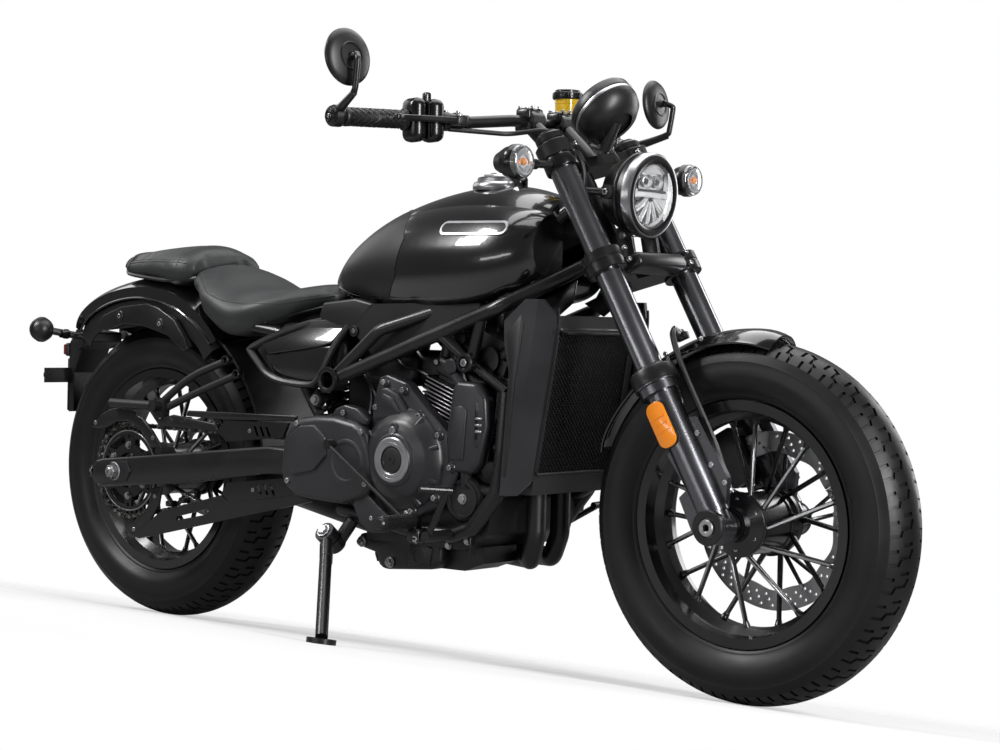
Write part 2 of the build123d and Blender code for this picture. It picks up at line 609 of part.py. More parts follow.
def build_tank():
    tank = loft_along(TANK, tank_section)
    tunnel = plate([(-300, 640), (-300, 705), (60, 776), (380, 838), (380, 640)], -34, 34)
    ring = barrel((*CAP_PLACE, 912), (*CAP_PLACE, 929), 92)
    lugs = [barrel(CAP_HINGE + ACROSS * side * 8.5, CAP_HINGE + ACROSS * side * 15, 10)
            for side in (-1, 1)]
    blocks = [Box(12, 6.5, 28).moved(Location((CAP_HINGE.X, side * 11.75, CAP_HINGE.Z - 14)))
              for side in (-1, 1)]
    pin = barrel(CAP_HINGE - ACROSS * 15, CAP_HINGE + ACROSS * 15, 5)
    pieces["fuel_tank"] = fused([tank - tunnel, ring, pin] + lugs + blocks)
    lid = barrel((*CAP_PLACE, 929.5), (*CAP_PLACE, 936), 86)
    grip = Box(70, 12, 9).moved(Location((*CAP_PLACE, 940)))
    tongue = Box(16, 14, 5).moved(Location((CAP_HINGE.X - 8, 0, 934)))
    knuckle = barrel(CAP_HINGE - ACROSS * 8, CAP_HINGE + ACROSS * 8, 10)
    cap = fused([lid, grip, tongue, knuckle])
    pieces["fuel_cap"] = cap - barrel(CAP_HINGE - ACROSS * 20, CAP_HINGE + ACROSS * 20,
                                      5 + 2 * RUNNING_GAP)


# x, floor, its half width, widest height, half width, shoulder, its half width, top
RIDER_SEAT = [(-590, 712, 96, 730, 112, 752, 84, 764),
              (-540, 660, 118, 700, 142, 736, 96, 750),
              (-450, 618, 132, 668, 156, 706, 104, 714),
              (-360, 648, 120, 682, 142, 712, 96, 714),
              (-280, 672, 70, 700, 86, 722, 62, 728),
              (-215, 690, 40, 706, 50, 722, 34, 730)]
PILLION_SEAT = [(-882, 746, 40, 754, 46, 762, 38, 768),
                (-846, 742, 66, 758, 76, 774, 60, 783),
                (-740, 734, 96, 760, 112, 784, 86, 796),
                (-650, 724, 104, 758, 120, 788, 90, 802),
                (-618, 728, 96, 756, 110, 780, 84, 795),
                (-598, 748, 80, 762, 90, 774, 70, 780)]


def build_seats():
    pieces["pillion_seat"] = loft_along(PILLION_SEAT, tank_section)
    pieces["rider_seat"] = loft_along(RIDER_SEAT, tank_section)


EAR_REACH = 111.0
EAR_HOLE = 101.0

# crown X, crown Z, edge X, edge Z, half width
REAR_GUARD = [(-1016, 633, -976, 614, 90),
              (-996, 670, -953, 637, 98),
              (-949, 703, -913, 660, 103),
              (-881, 726, -850, 683, 106),
              (-788, 743, -768, 694, 108),
              (-680, 742, -690, 684, 108),
              (-580, 696, -610, 658, 108),
              (-500, 618, -540, 598, 106)]


def guard_section(crown, edge, half, wall):
    """An upturned channel: straight sides under a round crown."""
    rise = (crown - edge).length
    plane = Plane(origin=edge, x_dir=ACROSS, z_dir=ACROSS.cross(crown - edge))
    side = 0.42 * rise
    thin = half - wall
    outer = ThreePointArc((half, side), (0, rise), (-half, side))
    inner = ThreePointArc((-thin, side), (0, rise - wall), (thin, side))
    face = make_face(Curve([Line((half, 0), (half, side)), outer, Line((-half, side), (-half, 0)),
                            Line((-half, 0), (-thin, 0)), Line((-thin, 0), (-thin, side)), inner,
                            Line((thin, side), (thin, 0)), Line((thin, 0), (half, 0))]))
    return plane * face


def guard(inset, deeper, wall):
    """The rear mudguard's shape, or a liner set inside it and reaching deeper."""
    sections = []
    for crown_x, crown_z, edge_x, edge_z, half in REAR_GUARD:
        crown = Vector(crown_x, 0, crown_z)
        edge = Vector(edge_x, 0, edge_z)
        inward = (REAR_AXLE - edge).normalized()
        sections.append(guard_section(crown + inward * inset, edge + inward * deeper,
                                      half - inset, wall))
    return loft(sections)


def build_rear_fender():
    pieces["rear_fender"] = guard(0, 0, 4.0)
    strut = [(-878, 640), (-806, 668), (-725, 676), (-640, 650), (-590, 592), (-612, 580),
             (-660, 612), (-740, 632), (-854, 620)]
    pieces["fender_liner"] = Compound([guard(6.0, 44.0, 3.0)]
                                      + mirrored(plate(strut, 108.5, 114.5, corner=3)))
    bracket = plate([(-1074, 430), (-1074, 585), (-1050, 618), (-990, 612), (-990, 590),
                     (-1030, 575), (-1056, 520), (-1056, 432)], -40, 40, corner=4)
    ears = [plate([(-1074, 497), (-1074, 530), (-1068, 530), (-1068, 497)],
                  *sorted((side * 39, side * EAR_REACH)))
            - barrel((-1080, side * EAR_HOLE, 514), (-1060, side * EAR_HOLE, 514), 7)
            for side in (-1, 1)]
    pieces["plate_bracket"] = fused([bracket] + ears)
    pieces["tail_lamp"] = plate([(-1092, 560), (-1092, 582), (-1074.5, 584), (-1074.5, 558)],
                                -42, 42, corner=3)
    lights = []
    for side in (-1, 1):
        ball = Location((-1062, side * 130, 616)) * Sphere(27)
        lights.append(ball + barrel((-1010, side * 45, 600), (-1050, side * 118, 614), 16))
    pieces["rear_indicators"] = Compound(lights)


def build_covers():
    panel = [(-373, 591), (-351, 607), (-225, 649), (-122, 653), (-155, 607), (-188, 533),
             (-213, 528), (-317, 540), (-364, 581)]
    pieces["side_covers"] = both_sides(plate(panel, 128, 160, corner=4))
    under = [(-120, 640), (-60, 690), (220, 698), (150, 640), (40, 610), (-60, 590)]
    pieces["tank_underpanels"] = both_sides(plate(under, 100, 126, corner=6))


# ------------------------------------------------------------- controls and stand
def build_controls():
    pegs = []
    for side in (-1, 1):
        peg = barrel((130, side * 200, 287), (130, side * 300, 287), 24)
        pegs.append(peg + rod([(130, side * 205, 287), (90, side * 152, 262)], 18))
        high = rod([(-467, side * 128, 565), (-562, side * 138, 531), (-640, side * 150, 470)], 16)
        low = rod([(-434, side * 128, 538), (-546, side * 138, 496), (-640, side * 150, 455)], 16)
        root = plate([(-650, 482), (-618, 482), (-622, 440), (-650, 440)],
                     *sorted((side * 142, side * 160)), corner=3)
        folded = barrel((-648, side * 168, 466), (-771, side * 172, 466), 20)
        hinge = barrel((-640, side * 150, 466), (-640, side * 176, 466), 24)
        pegs.append(fused([high, low, root, folded, hinge]))
    pieces["foot_pegs"] = Compound(pegs)
    pivot = barrel((174, -156, 262), (174, -226, 262), 20)
    arm = barrel((174, -217, 262), (220, -217, 352), 12)
    toe = barrel((221, -208, 350), (190, -262, 354), 15)
    link = barrel((150, -204, 257), (-100, -204, 417), 7)
    crank = [barrel((174, -204, 262), (150, -204, 257), 9),
             barrel((-100, -192, 417), (-100, -208, 417), 18)]
    tread = barrel((235, 208, 302), (235, 262, 304), 14)
    brake = [barrel((150, 156, 255), (150, 222, 255), 20), tread,
             barrel((150, 215, 255), (235, 215, 300), 12)]
    pieces["foot_controls"] = Compound([fused([pivot, arm, toe, link] + crank), fused(brake)])


def set_down():
    """How far the leaned machine rises so that its round tyres rest on the ground."""
    return REAR_CROWN * (1 - math.cos(math.radians(LEAN)))


SHOE_LOW = 6.0
STAND_REACH_OUT = 326.0
STAND_PIVOT = Vector(-115, -184, 240)
STAND_FOOT = Vector(13, -STAND_REACH_OUT, (SHOE_LOW - set_down()
                    + STAND_REACH_OUT * math.sin(math.radians(LEAN)))
                    / math.cos(math.radians(LEAN)))
STAND_ANGLE = 118.0
STOWED = Vector(-1, 0, 0)
STAND_REACH = STAND_FOOT - STAND_PIVOT
STAND_AXIS = (STAND_REACH.cross(STOWED)).normalized()
STAND_PIN = 16.0


def build_stand():
    up = Vector(0, math.sin(math.radians(LEAN)), math.cos(math.radians(LEAN)))
    along = STAND_REACH.normalized()
    leg = barrel(STAND_PIVOT + along * 16, STAND_FOOT - along * 8, 24)
    eye = barrel(STAND_PIVOT - STAND_AXIS * 11, STAND_PIVOT + STAND_AXIS * 11, 40)
    shoe = barrel(STAND_FOOT - up * SHOE_LOW, STAND_FOOT + up * 4, 56)
    drilling = barrel(STAND_PIVOT - STAND_AXIS * 20, STAND_PIVOT + STAND_AXIS * 20,
                      STAND_PIN + 2 * RUNNING_GAP)
    pieces["side_stand"] = fused([leg, eye, shoe]) - drilling
    pin = barrel(STAND_PIVOT - STAND_AXIS * 15, STAND_PIVOT + STAND_AXIS * 15, STAND_PIN)
    lug = barrel(STAND_PIVOT + STAND_AXIS * 14, STAND_PIVOT + STAND_AXIS * 38, 40)
    arm = barrel(STAND_PIVOT + STAND_AXIS * 35, Vector(-90, -138, 268), 26)
    pieces["engine_cradle"] = pieces["engine_cradle"] + fused([pin, lug, arm])


# ------------------------------------------------------------------ rear running gear
def build_rear_gear():
    pieces["rear_shock"] = (barrel((-300, 0, 560), (-250, 0, 420), 46)
                            + barrel((-292, 0, 540), (-258, 0, 440), 84))
    centre = angled(REAR_AXLE, 92, 40, 87)
    body = Plane(origin=centre - ACROSS * 21, x_dir=(1, 0, 0), z_dir=ACROSS)
    block = extrude(body * RectangleRounded(90, 50, 10), amount=49)
    slot = barrel(REAR_AXLE + ACROSS * 79, REAR_AXLE + ACROSS * 95, 232)
    pieces["rear_caliper"] = block - slot


def stood(shape):
    """The piece as the machine leans on its stand, about the centre of its own box."""
    leaned = shape.rotate(Axis.X, LEAN)
    return leaned.translate((ROW_SHIFT[0], ROW_SHIFT[1], set_down()))


# each piece, then the neighbours it is cut to fit round
FITS = [("mirrors", ("bar_controls", "handlebar")),
        ("engine_cradle", ("trellis_frame",)),
        ("crankcase", ("engine_cradle", "trellis_frame")),
        ("headlamp", ("fork_tubes", "fork_clamps")),
        ("front_indicators", ("fork_tubes", "fork_clamps")),
        ("front_caliper", ("fork_legs",)),
        ("front_fender", ("fork_legs", "fork_tubes")),
        ("fork_legs", ("front_axle",)),
        ("bar_cables", ("fork_clamps", "fork_tubes", "handlebar", "bar_controls", "instrument",
                        "headlamp", "front_indicators")),
        ("trellis_frame", ("frame_spine",)),
        ("seat_subframe", ("trellis_frame",)),
        ("sprocket_cover", ("swingarm", "alternator_cover", "drive_chain", "crankcase",
                            "trellis_frame")),
        ("chain_guards", ("swingarm", "foot_pegs", "sprocket_cover", "foot_controls")),
        ("coolant_housing", ("alternator_cover", "trellis_frame")),
        ("cylinder_block", ("crankcase",)),
        ("cylinder_head", ("cylinder_block", "trellis_frame")),
        ("exhaust_headers", ("cylinder_head", "cylinder_block", "crankcase", "radiator")),
        ("muffler", ("exhaust_headers", "swingarm", "crankcase", "engine_cradle")),
        ("clutch_cover", ("engine_cradle", "crankcase")),
        ("alternator_cover", ("crankcase", "engine_cradle")),
        ("radiator_shrouds", ("radiator", "engine_cradle", "trellis_frame")),
        ("foot_pegs", ("engine_cradle", "swingarm", "foot_controls")),
        ("fuel_tank", ("frame_spine", "trellis_frame")),
        ("tank_underpanels", ("fuel_tank", "cylinder_head", "trellis_frame", "frame_spine",
                              "coolant_housing")),
        ("fender_liner", ("rear_fender",)),
        ("pillion_seat", ("rider_seat", "rear_fender", "fender_liner")),
        ("rider_seat", ("fuel_tank", "frame_spine", "seat_subframe", "rear_fender",
                        "fender_liner")),
        ("rear_shock", ("frame_spine", "swingarm", "rider_seat")),
        ("plate_bracket", ("rear_fender", "fender_liner")),
        ("rear_indicators", ("rear_fender", "fender_liner", "plate_bracket")),
        ("side_covers", ("seat_subframe", "trellis_frame", "rider_seat")),
        ("rear_caliper", ("swingarm", "rear_axle"))]


def largest(shape, share=0.02):
    """The shape without the small scraps that cutting to fit may leave."""
    solids = shape.solids()
    whole = sum(solid.volume for solid in solids)
    return Compound([solid for solid in solids if solid.volume > share * whole])


def fit_together():
    for name, neighbours in FITS:
        shape = pieces[name]
        for neighbour in neighbours:
            shape = shape - pieces[neighbour]
        pieces[name] = largest(shape)


def build_all():
    build_wheels()
    build_steering()
    build_frame()
    build_swingarm()
    build_chain()
    build_chain_guards()
    build_engine()
    build_cooling()
    build_exhaust()
    build_tank()
    build_seats()
    build_rear_fender()
    build_covers()
    build_controls()
    build_stand()
    build_rear_gear()
    fit_together()


if __name__ == "__main__":
    os.makedirs("parts", exist_ok=True)
    build_all()
    for name, shape in pieces.items():
        export_step(stood(shape), "parts/" + name + ".step")
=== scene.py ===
"""Mid-size cruiser motorcycle: the looks that go round its solid parts.

Every piece is drawn with the machine upright, in millimetres: X forward, Y to its left, Z up, the
origin on the ground midway between the axles.  STOOD then leans it onto its side stand, in metres.
"""

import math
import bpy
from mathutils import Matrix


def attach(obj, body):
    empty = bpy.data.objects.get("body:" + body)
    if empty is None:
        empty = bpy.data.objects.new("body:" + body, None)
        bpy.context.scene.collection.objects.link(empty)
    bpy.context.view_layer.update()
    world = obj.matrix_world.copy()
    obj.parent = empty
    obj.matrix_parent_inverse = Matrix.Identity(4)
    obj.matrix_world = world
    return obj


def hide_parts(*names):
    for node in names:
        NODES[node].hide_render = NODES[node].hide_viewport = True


bl_info = {
    "name": "Cruiser Motorcycle", "version": (1, 0, 0), "blender": (4, 5, 0),
    "location": "3D View > Sidebar > Motorcycle", "category": "Object",
    "description": "Adds the looks of a cruiser motorcycle round its solid parts"}

import bmesh
import bpy
from mathutils import Matrix, Vector
from mathutils.bvhtree import BVHTree

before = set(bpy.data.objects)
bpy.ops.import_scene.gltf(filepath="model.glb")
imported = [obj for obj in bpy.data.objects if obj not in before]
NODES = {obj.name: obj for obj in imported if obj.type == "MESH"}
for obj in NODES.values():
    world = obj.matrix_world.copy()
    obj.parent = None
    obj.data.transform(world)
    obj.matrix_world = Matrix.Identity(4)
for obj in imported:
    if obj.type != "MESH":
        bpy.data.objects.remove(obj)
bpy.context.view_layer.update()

# ------------------------------------------------------------ the machine's own frame
LEAN = math.radians(10.0)
STOOD = (Matrix.Translation((0.014934, 0.19402, 0.001428)) @ Matrix.Rotation(LEAN, 4, "X")
         @ Matrix.Scale(0.001, 4))
ALONG, ACROSS, UP = Vector((1, 0, 0)), Vector((0, 1, 0)), Vector((0, 0, 1))
FRONT_RADIUS, REAR_RADIUS = 320.8, 322.2
FRONT_AXLE = Vector((742.5, 0, FRONT_RADIUS))
REAR_AXLE = Vector((-742.5, 0, REAR_RADIUS))
RAKE = math.radians(30.2)
FORK_UP = Vector((-math.sin(RAKE), 0, math.cos(RAKE)))
FORK_AHEAD = Vector((math.cos(RAKE), 0, math.sin(RAKE)))
# Half the distance between the fork legs, and where their plane crosses the axle's height.
FORK_SPREAD, FORK_FOOT = 118.0, 751.0
SIDES = (-1, 1)


def fork_point(height, side=0.0, ahead=0.0):
    """The point of the fork's plane at a height, then square ahead of it."""
    reach = FORK_FOOT - (height - FRONT_AXLE.z) * math.tan(RAKE)
    return Vector((reach, side, height)) + FORK_AHEAD * ahead


def polar(radius, turn):
    """X and Y of the point of a circle at an angle in radians."""
    return radius * math.cos(turn), radius * math.sin(turn)


def around(count, phase=0.0):
    """Even angles round a circle, in degrees."""
    return [phase + 360.0 * n / count for n in range(count)]


def angled(centre, radius, degrees, y=0.0):
    """A point on a circle about an axle: 0 is ahead, 90 is above."""
    x, z = polar(radius, math.radians(degrees))
    return centre + Vector((x, y, z))


# ----------------------------------------------------------------------- materials
def linear(code):
    """An sRGB hex colour as the linear values that the shader reads."""
    shades = [int(code[i:i + 2], 16) / 255 for i in (0, 2, 4)]
    return tuple(s / 12.92 if s <= 0.04045 else ((s + 0.055) / 1.055) ** 2.4 for s in shades) + (1.0,)


def add(tree, kind, inputs=None, **settings):
    """A new node with its settings, its inputs given as values or as links."""
    node = tree.nodes.new(kind)
    for name, value in settings.items():
        setattr(node, name, value)
    for name, value in (inputs or {}).items():
        if isinstance(value, bpy.types.NodeSocket):
            tree.links.new(value, node.inputs[name])
        else:
            node.inputs[name].default_value = value
    return node


def combined(tree, operation, first, second):
    """The result of a math operation on two values."""
    return add(tree, "ShaderNodeMath", {0: first, 1: second}, operation=operation).outputs[0]


def emptied(owner):
    """The node tree of a material or a world, with nothing in it."""
    owner.use_nodes = True
    owner.node_tree.nodes.clear()
    return owner.node_tree


MATERIALS = {}


def surface(name, colour, roughness, metallic=0.0, grain=1.0, depth=0.0, shift=0.15,
            stretch=(1, 1, 1), uneven=0.1, **shader):
    """A finish whose fine grain, in millimetres, stirs its colour, its sheen and its height."""
    material = bpy.data.materials.new(name)
    tree = emptied(material)
    place = add(tree, "ShaderNodeTexCoord").outputs["Object"]
    spread = add(tree, "ShaderNodeMapping", {"Vector": place, "Scale": stretch}).outputs[0]
    fine = add(tree, "ShaderNodeTexNoise", {"Vector": spread, "Scale": 1000 / grain, "Detail": 3})
    broad = add(tree, "ShaderNodeTexNoise", {"Vector": place, "Scale": 9.0, "Detail": 4})
    shades = linear(colour)[:3]
    both = combined(tree, "MULTIPLY", fine.outputs[0], broad.outputs[0])
    tint = add(tree, "ShaderNodeMapRange", {"Value": both, "From Min": 0.12, "From Max": 0.42})
    mix = add(tree, "ShaderNodeMix", {"Factor": tint.outputs[0]}, data_type="RGBA")
    mix.inputs[6].default_value = (*(c * (1 - shift) for c in shades), 1)
    mix.inputs[7].default_value = (*(min(1, c * (1 + shift)) for c in shades), 1)
    sheen = add(tree, "ShaderNodeMapRange",
                {"Value": broad.outputs[0], "From Min": 0.3, "From Max": 0.7,
                 "To Min": roughness * (1 - uneven), "To Max": min(1, roughness * (1 + uneven))})
    inputs = {"Base Color": mix.outputs[2], "Roughness": sheen.outputs[0], "Metallic": metallic}
    inputs.update(shader)
    if depth:
        inputs["Normal"] = add(tree, "ShaderNodeBump", {"Height": fine.outputs[0],
                                                        "Distance": depth / 1000}).outputs[0]
    skin = add(tree, "ShaderNodeBsdfPrincipled", inputs)
    add(tree, "ShaderNodeOutputMaterial", {"Surface": skin.outputs[0]})
    MATERIALS[name] = material


def make_materials():
    """Every finish on the machine, each named for what it is and how it was made."""
    # Two-pack gloss enamel: near black and wet-looking, with a faint orange peel under lacquer.
    surface("gloss_black_enamel", "050506", 0.22, grain=2.5, depth=0.004, IOR=1.5,
            **{"Coat Weight": 1.0, "Coat Roughness": 0.03})
    # Lightly flatted enamel on the tank's flank, which spreads the light more.
    surface("satin_black_enamel", "0a0a0b", 0.42, grain=1.5, depth=0.004, IOR=1.5)
    # Polyester powder coat on steel tube: soft sheen and a fine pebble.
    surface("satin_powder_coat", "131314", 0.29, grain=0.9, depth=0.01, uneven=0.2, IOR=1.5)
    # Black-anodised fork legs: a dark metal, turned smooth, with a bright streak.
    surface("anodised_aluminium", "6c6c70", 0.27, 1.0, grain=0.5, depth=0.004, shift=0.12, uneven=0.15)
    # The upper tubes: aluminium anodised a lighter grey and ground round, with a soft sheen.
    surface("ground_anodised_tube", "858589", 0.23, 1.0, grain=0.5, depth=0.002, shift=0.08,
            stretch=(1, 1, 0.15))
    # Die-cast aluminium painted charcoal: a duller skin with cast grit showing through.
    surface("charcoal_cast_aluminium", "202023", 0.36, grain=0.8, depth=0.02, shift=0.25,
            uneven=0.2, IOR=1.5)
    # The same castings where they lie deep, darkened to nearly black as painted shade.
    surface("cast_aluminium_in_painted_shade", "0d0d0e", 0.42, grain=0.8, depth=0.02, uneven=0.2, IOR=1.5)
    # Machined aluminium left bright: fine turned lines that spread its highlight.
    surface("machined_aluminium", "b2b2b5", 0.3, 1.0, grain=0.6, depth=0.01, shift=0.1)
    # Zinc-plated bolt steel: grey-white and slightly uneven.
    surface("plated_steel", "b4b4b6", 0.32, 1.0, grain=0.7, depth=0.01, shift=0.15, uneven=0.3)
    # Ground stainless brake disc: a pale metal with a swept sheen.
    surface("ground_stainless", "9b9b9d", 0.34, 1.0, grain=0.7, depth=0.01, shift=0.12)
    # Roller chain: oiled dark steel.
    surface("oiled_chain_steel", "57544f", 0.42, 1.0, grain=1.2, depth=0.02, shift=0.3)
    # Baked wheel enamel on cast aluminium.
    surface("black_wheel_enamel", "08080a", 0.26, grain=1.2, depth=0.006, IOR=1.5,
            **{"Coat Weight": 0.5, "Coat Roughness": 0.12})
    # Carbon-filled tread rubber: matt, slightly dusty and faintly mottled.
    surface("tyre_rubber", "121213", 0.42, grain=1.4, depth=0.03, shift=0.2, uneven=0.2, IOR=1.5,
            **{"Specular IOR Level": 0.32})
    # Moulded synthetic rubber of grips, pegs and hoses.
    surface("moulded_rubber", "0e0e0f", 0.45, grain=0.6, depth=0.02, IOR=1.5)
    # Injection-moulded ABS with a spark-eroded texture: an even, dry black.
    surface("textured_abs", "141415", 0.38, grain=0.5, depth=0.015, IOR=1.5)
    # Smooth moulded ABS: shinier, as on lamp bowls and switch pods.
    surface("smooth_abs", "0a0a0b", 0.24, grain=1.0, depth=0.004, IOR=1.5)
    # Heat-proof exhaust paint: dead flat black with a little bloom.
    surface("exhaust_paint", "0d0d0e", 0.4, grain=1.0, depth=0.02, shift=0.25, uneven=0.25, IOR=1.5)
    # Stitched vinyl seat cover: grey-black with a pebbled leather grain.
    surface("pebbled_vinyl", "292a2b", 0.5, grain=1.6, depth=0.12, shift=0.15, IOR=1.5)
    # Waxed thread, a shade lighter than the cover.
    surface("waxed_thread", "4a4a4b", 0.6, grain=0.4, depth=0.05, IOR=1.5)
    # Radiator fins and mesh painted flat black.
    surface("radiator_paint", "131314", 0.6, grain=0.8, depth=0.03, IOR=1.5)
    # Vacuum-plated reflector plastic: a soft, bright mirror.
    surface("plated_reflector", "d9dadc", 0.18, 1.0, grain=4.0, shift=0.05)
    # White silicone diffuser of the lamp's light bar.
    surface("white_diffuser", "e9eaec", 0.4, grain=2.0, shift=0.03, IOR=1.45)
    # Clear polycarbonate lens: hard, clean and almost colourless.
    surface("clear_polycarbonate", "fbfbfb", 0.03, grain=3.0, shift=0.0, IOR=1.58,
            **{"Transmission Weight": 1.0})
    # Amber acrylic of reflectors and bulbs: a deep, even orange.
    surface("amber_acrylic", "e8840c", 0.25, grain=1.5, depth=0.02, shift=0.1, IOR=1.49,
            **{"Coat Weight": 0.6})
    # Brake fluid seen through its cup: honey yellow.
    surface("honey_fluid", "c9a21a", 0.2, grain=5.0, shift=0.15, IOR=1.45, **{"Coat Weight": 0.8})
    # Red acrylic of the tail lamp.
    surface("red_acrylic", "6b0a0c", 0.18, grain=2.0, shift=0.1, IOR=1.49, **{"Coat Weight": 0.8})
    # Silvered mirror glass.
    surface("silvered_glass", "d4d8da", 0.03, 1.0, grain=8.0, shift=0.02)


# Which finish each solid part keeps, where its own shape is shown.
FINISHES = {
    "gloss_black_enamel": ("fuel_tank", "rear_fender", "front_fender", "side_covers"),
    "satin_powder_coat": (
        "frame_spine", "trellis_frame", "engine_cradle", "seat_subframe", "swingarm",
        "fork_clamps", "handlebar", "side_stand", "foot_controls",
        "chain_guards", "rear_shock"),
    "ground_anodised_tube": ("fork_tubes",),
    "anodised_aluminium": ("fork_legs",),
    "charcoal_cast_aluminium": ("alternator_cover", "clutch_cover", "sprocket_cover",
                                "coolant_housing", "radiator_shrouds"),
    # Parts that lie deep take the charcoal castings darkened to nearly black as painted shade.
    "cast_aluminium_in_painted_shade": ("crankcase", "cylinder_block", "cylinder_head", "front_caliper",
                             "rear_caliper"),
    "plated_steel": ("front_axle", "rear_axle", "fuel_cap"),
    "ground_stainless": ("front_disc", "rear_disc", "rear_sprocket"),
    "oiled_chain_steel": ("drive_chain",),
    "black_wheel_enamel": ("front_rim", "rear_rim"),
    "tyre_rubber": ("front_tyre", "rear_tyre"),
    "exhaust_paint": ("exhaust_headers", "muffler"),
    "textured_abs": ("fender_liner", "plate_bracket", "tank_underpanels", "headlamp", "instrument",
                     "front_indicators", "rear_indicators", "mirrors", "bar_controls"),
    "radiator_paint": ("radiator",),
    "pebbled_vinyl": ("rider_seat", "pillion_seat"),
    "moulded_rubber": ("foot_pegs", "brake_hose", "bar_cables"),
    "red_acrylic": ("tail_lamp",),
    "honey_fluid": ("brake_reservoir",),
}


# ------------------------------------------------------------------- modelling helpers
def facing(centre, axis, up=UP):
    """The placing whose own Z runs along axis and whose Y leans towards up."""
    z = Vector(axis).normalized()
    up = Vector(up)
    if abs(z.dot(up.normalized())) > 0.99:
        up = ALONG
    x = up.cross(z).normalized()
    turn = Matrix((x, z.cross(x), z)).transposed().to_4x4()
    return Matrix.Translation(centre) @ turn


def shifted(place, x=0.0, y=0.0, z=0.0):
    """A placing moved along its own axes."""
    return place @ Matrix.Translation((x, y, z))


def spun(place, degrees, axis="Z"):
    """A placing turned about one of its own axes."""
    return place @ Matrix.Rotation(math.radians(degrees), 4, axis)


def outward(bm):
    """Joins the points that meet and turns every face outwards."""
    bmesh.ops.remove_doubles(bm, verts=bm.verts, dist=0.01)
    bmesh.ops.recalc_face_normals(bm, faces=bm.faces)
    return bm


def vertices(geometry):
    """The points among what a mesh operation gives back."""
    return [item for item in geometry if isinstance(item, bmesh.types.BMVert)]


def thickened(bm, faces, offset):
    """Gives flat faces their other side and the edge between."""
    raised = bmesh.ops.extrude_face_region(bm, geom=faces, use_keep_orig=True)["geom"]
    bmesh.ops.translate(bm, vec=offset, verts=vertices(raised))


def turned(profile, place, steps=48, closed=False):
    """A turned shape from (radius, height) points about the placing's own Z."""
    bm = bmesh.new()
    points = [bm.verts.new((r, 0, h)) for r, h in profile]
    pairs = list(zip(points, points[1:])) + ([(points[-1], points[0])] if closed else [])
    edges = [bm.edges.new(pair) for pair in pairs]
    bmesh.ops.spin(bm, geom=points + edges, cent=(0, 0, 0), axis=(0, 0, 1), angle=math.tau,
                   steps=steps, use_merge=True)
    outward(bm)
    bm.transform(place)
    return bm


def rounded(bm, width, segments=2, above=25.0):
    """Rounds the edges that turn more sharply than an angle."""
    edges = [e for e in bm.edges if e.is_manifold and e.calc_face_angle(0) > math.radians(above)]
    bmesh.ops.bevel(bm, geom=edges, offset=width, affect="EDGES", segments=segments, profile=0.5,
                    material=-1, clamp_overlap=True)
    return bm


def slab(outline, low, high, place, edge=0.0, segments=2):
    """A flat plate from its outline in X and Y, from low to high in Z."""
    bm = bmesh.new()
    face = bm.faces.new([bm.verts.new((x, y, low)) for x, y in outline])
    thickened(bm, [face], (0, 0, high - low))
    outward(bm)
    if edge:
        rounded(bm, edge, segments)
    bm.transform(place)
    return bm


# Lays a plate's X along the machine and its Y upwards; its Z then points to the right.
SIDE_ON = Matrix(((1, 0, 0, 0), (0, 0, -1, 0), (0, 1, 0, 0), (0, 0, 0, 1)))


def side_plate(outline, y_from, y_to, edge=0.0, segments=2):
    """A plate standing along the machine, between two distances to its left."""
    return slab(outline, -max(y_from, y_to), -min(y_from, y_to), SIDE_ON, edge, segments)


def block(size, place, edge=0.0, segments=2):
    """A box about its placing, with its edges rounded."""
    bm = bmesh.new()
    bmesh.ops.create_cube(bm, size=1.0, matrix=Matrix.Diagonal((*size, 1)))
    if edge:
        rounded(bm, edge, segments)
    bm.transform(place)
    return bm


def rod(start, end, diameter, end_diameter=None, steps=20):
    """A round bar from one point to another."""
    start, end = Vector(start), Vector(end)
    reach = (end - start).length
    r, tip = diameter / 2, (end_diameter or diameter) / 2
    ease = min(r, tip, reach / 2) * 0.12
    profile = [(0, 0), (r - ease, 0), (r, ease), (tip, reach - ease), (tip - ease, reach), (0, reach)]
    return turned(profile, facing(start, end - start), steps)


def bent(points, diameter, sides=12, smooth=True, cyclic=False):
    """A bar or hose along a smooth line through its control points."""
    data = bpy.data.curves.new("route", "CURVE")
    data.dimensions = "3D"
    data.bevel_depth = diameter / 2
    data.bevel_resolution = max(1, sides // 4 - 1)
    data.use_fill_caps = True
    spline = data.splines.new("NURBS" if smooth else "POLY")
    spline.points.add(len(points) - 1)
    for point, at in zip(spline.points, points):
        point.co = (*at, 1)
    if smooth:
        spline.order_u = 3
        spline.use_endpoint_u = True
        spline.resolution_u = 8
    spline.use_cyclic_u = cyclic
    route = bpy.data.objects.new("route", data)
    mesh = bpy.data.meshes.new_from_object(route)
    bm = bmesh.new()
    bm.from_mesh(mesh)
    bpy.data.objects.remove(route)
    bpy.data.curves.remove(data)
    bpy.data.meshes.remove(mesh)
    return outward(bm)


def bolt(centre, axis, size, tall=None, kind="socket"):
    """A bolt head: a socket cap, or a hexagon on its washer."""
    r, tall = size / 2, tall or size * 0.5
    place = facing(centre, axis)
    if kind == "hex":
        rim, thick = r * 1.25, size * 0.12
        washer = turned([(0, 0), (rim, 0), (rim, thick), (0, thick)], place, 20)
        head = turned([(0, 0), (r, 0), (r, tall * 0.85), (r * 0.86, tall), (0, tall)], place, 6)
        return gathered([washer, head])
    return turned([(0, 0), (r, 0), (r, tall - r * 0.16), (r * 0.84, tall), (r * 0.5, tall),
                   (r * 0.44, tall * 0.45), (0, tall * 0.4)], place, 16)


def coiled(place, radius, start, rise, turns, steps, wire, sides):
    """A spring up a placing's Z, from the rise of each turn."""
    line = [place @ Vector((*polar(radius, math.tau * n / steps), start + rise * n / steps))
            for n in range(turns * steps + 1)]
    return bent(line, wire, sides, smooth=False)


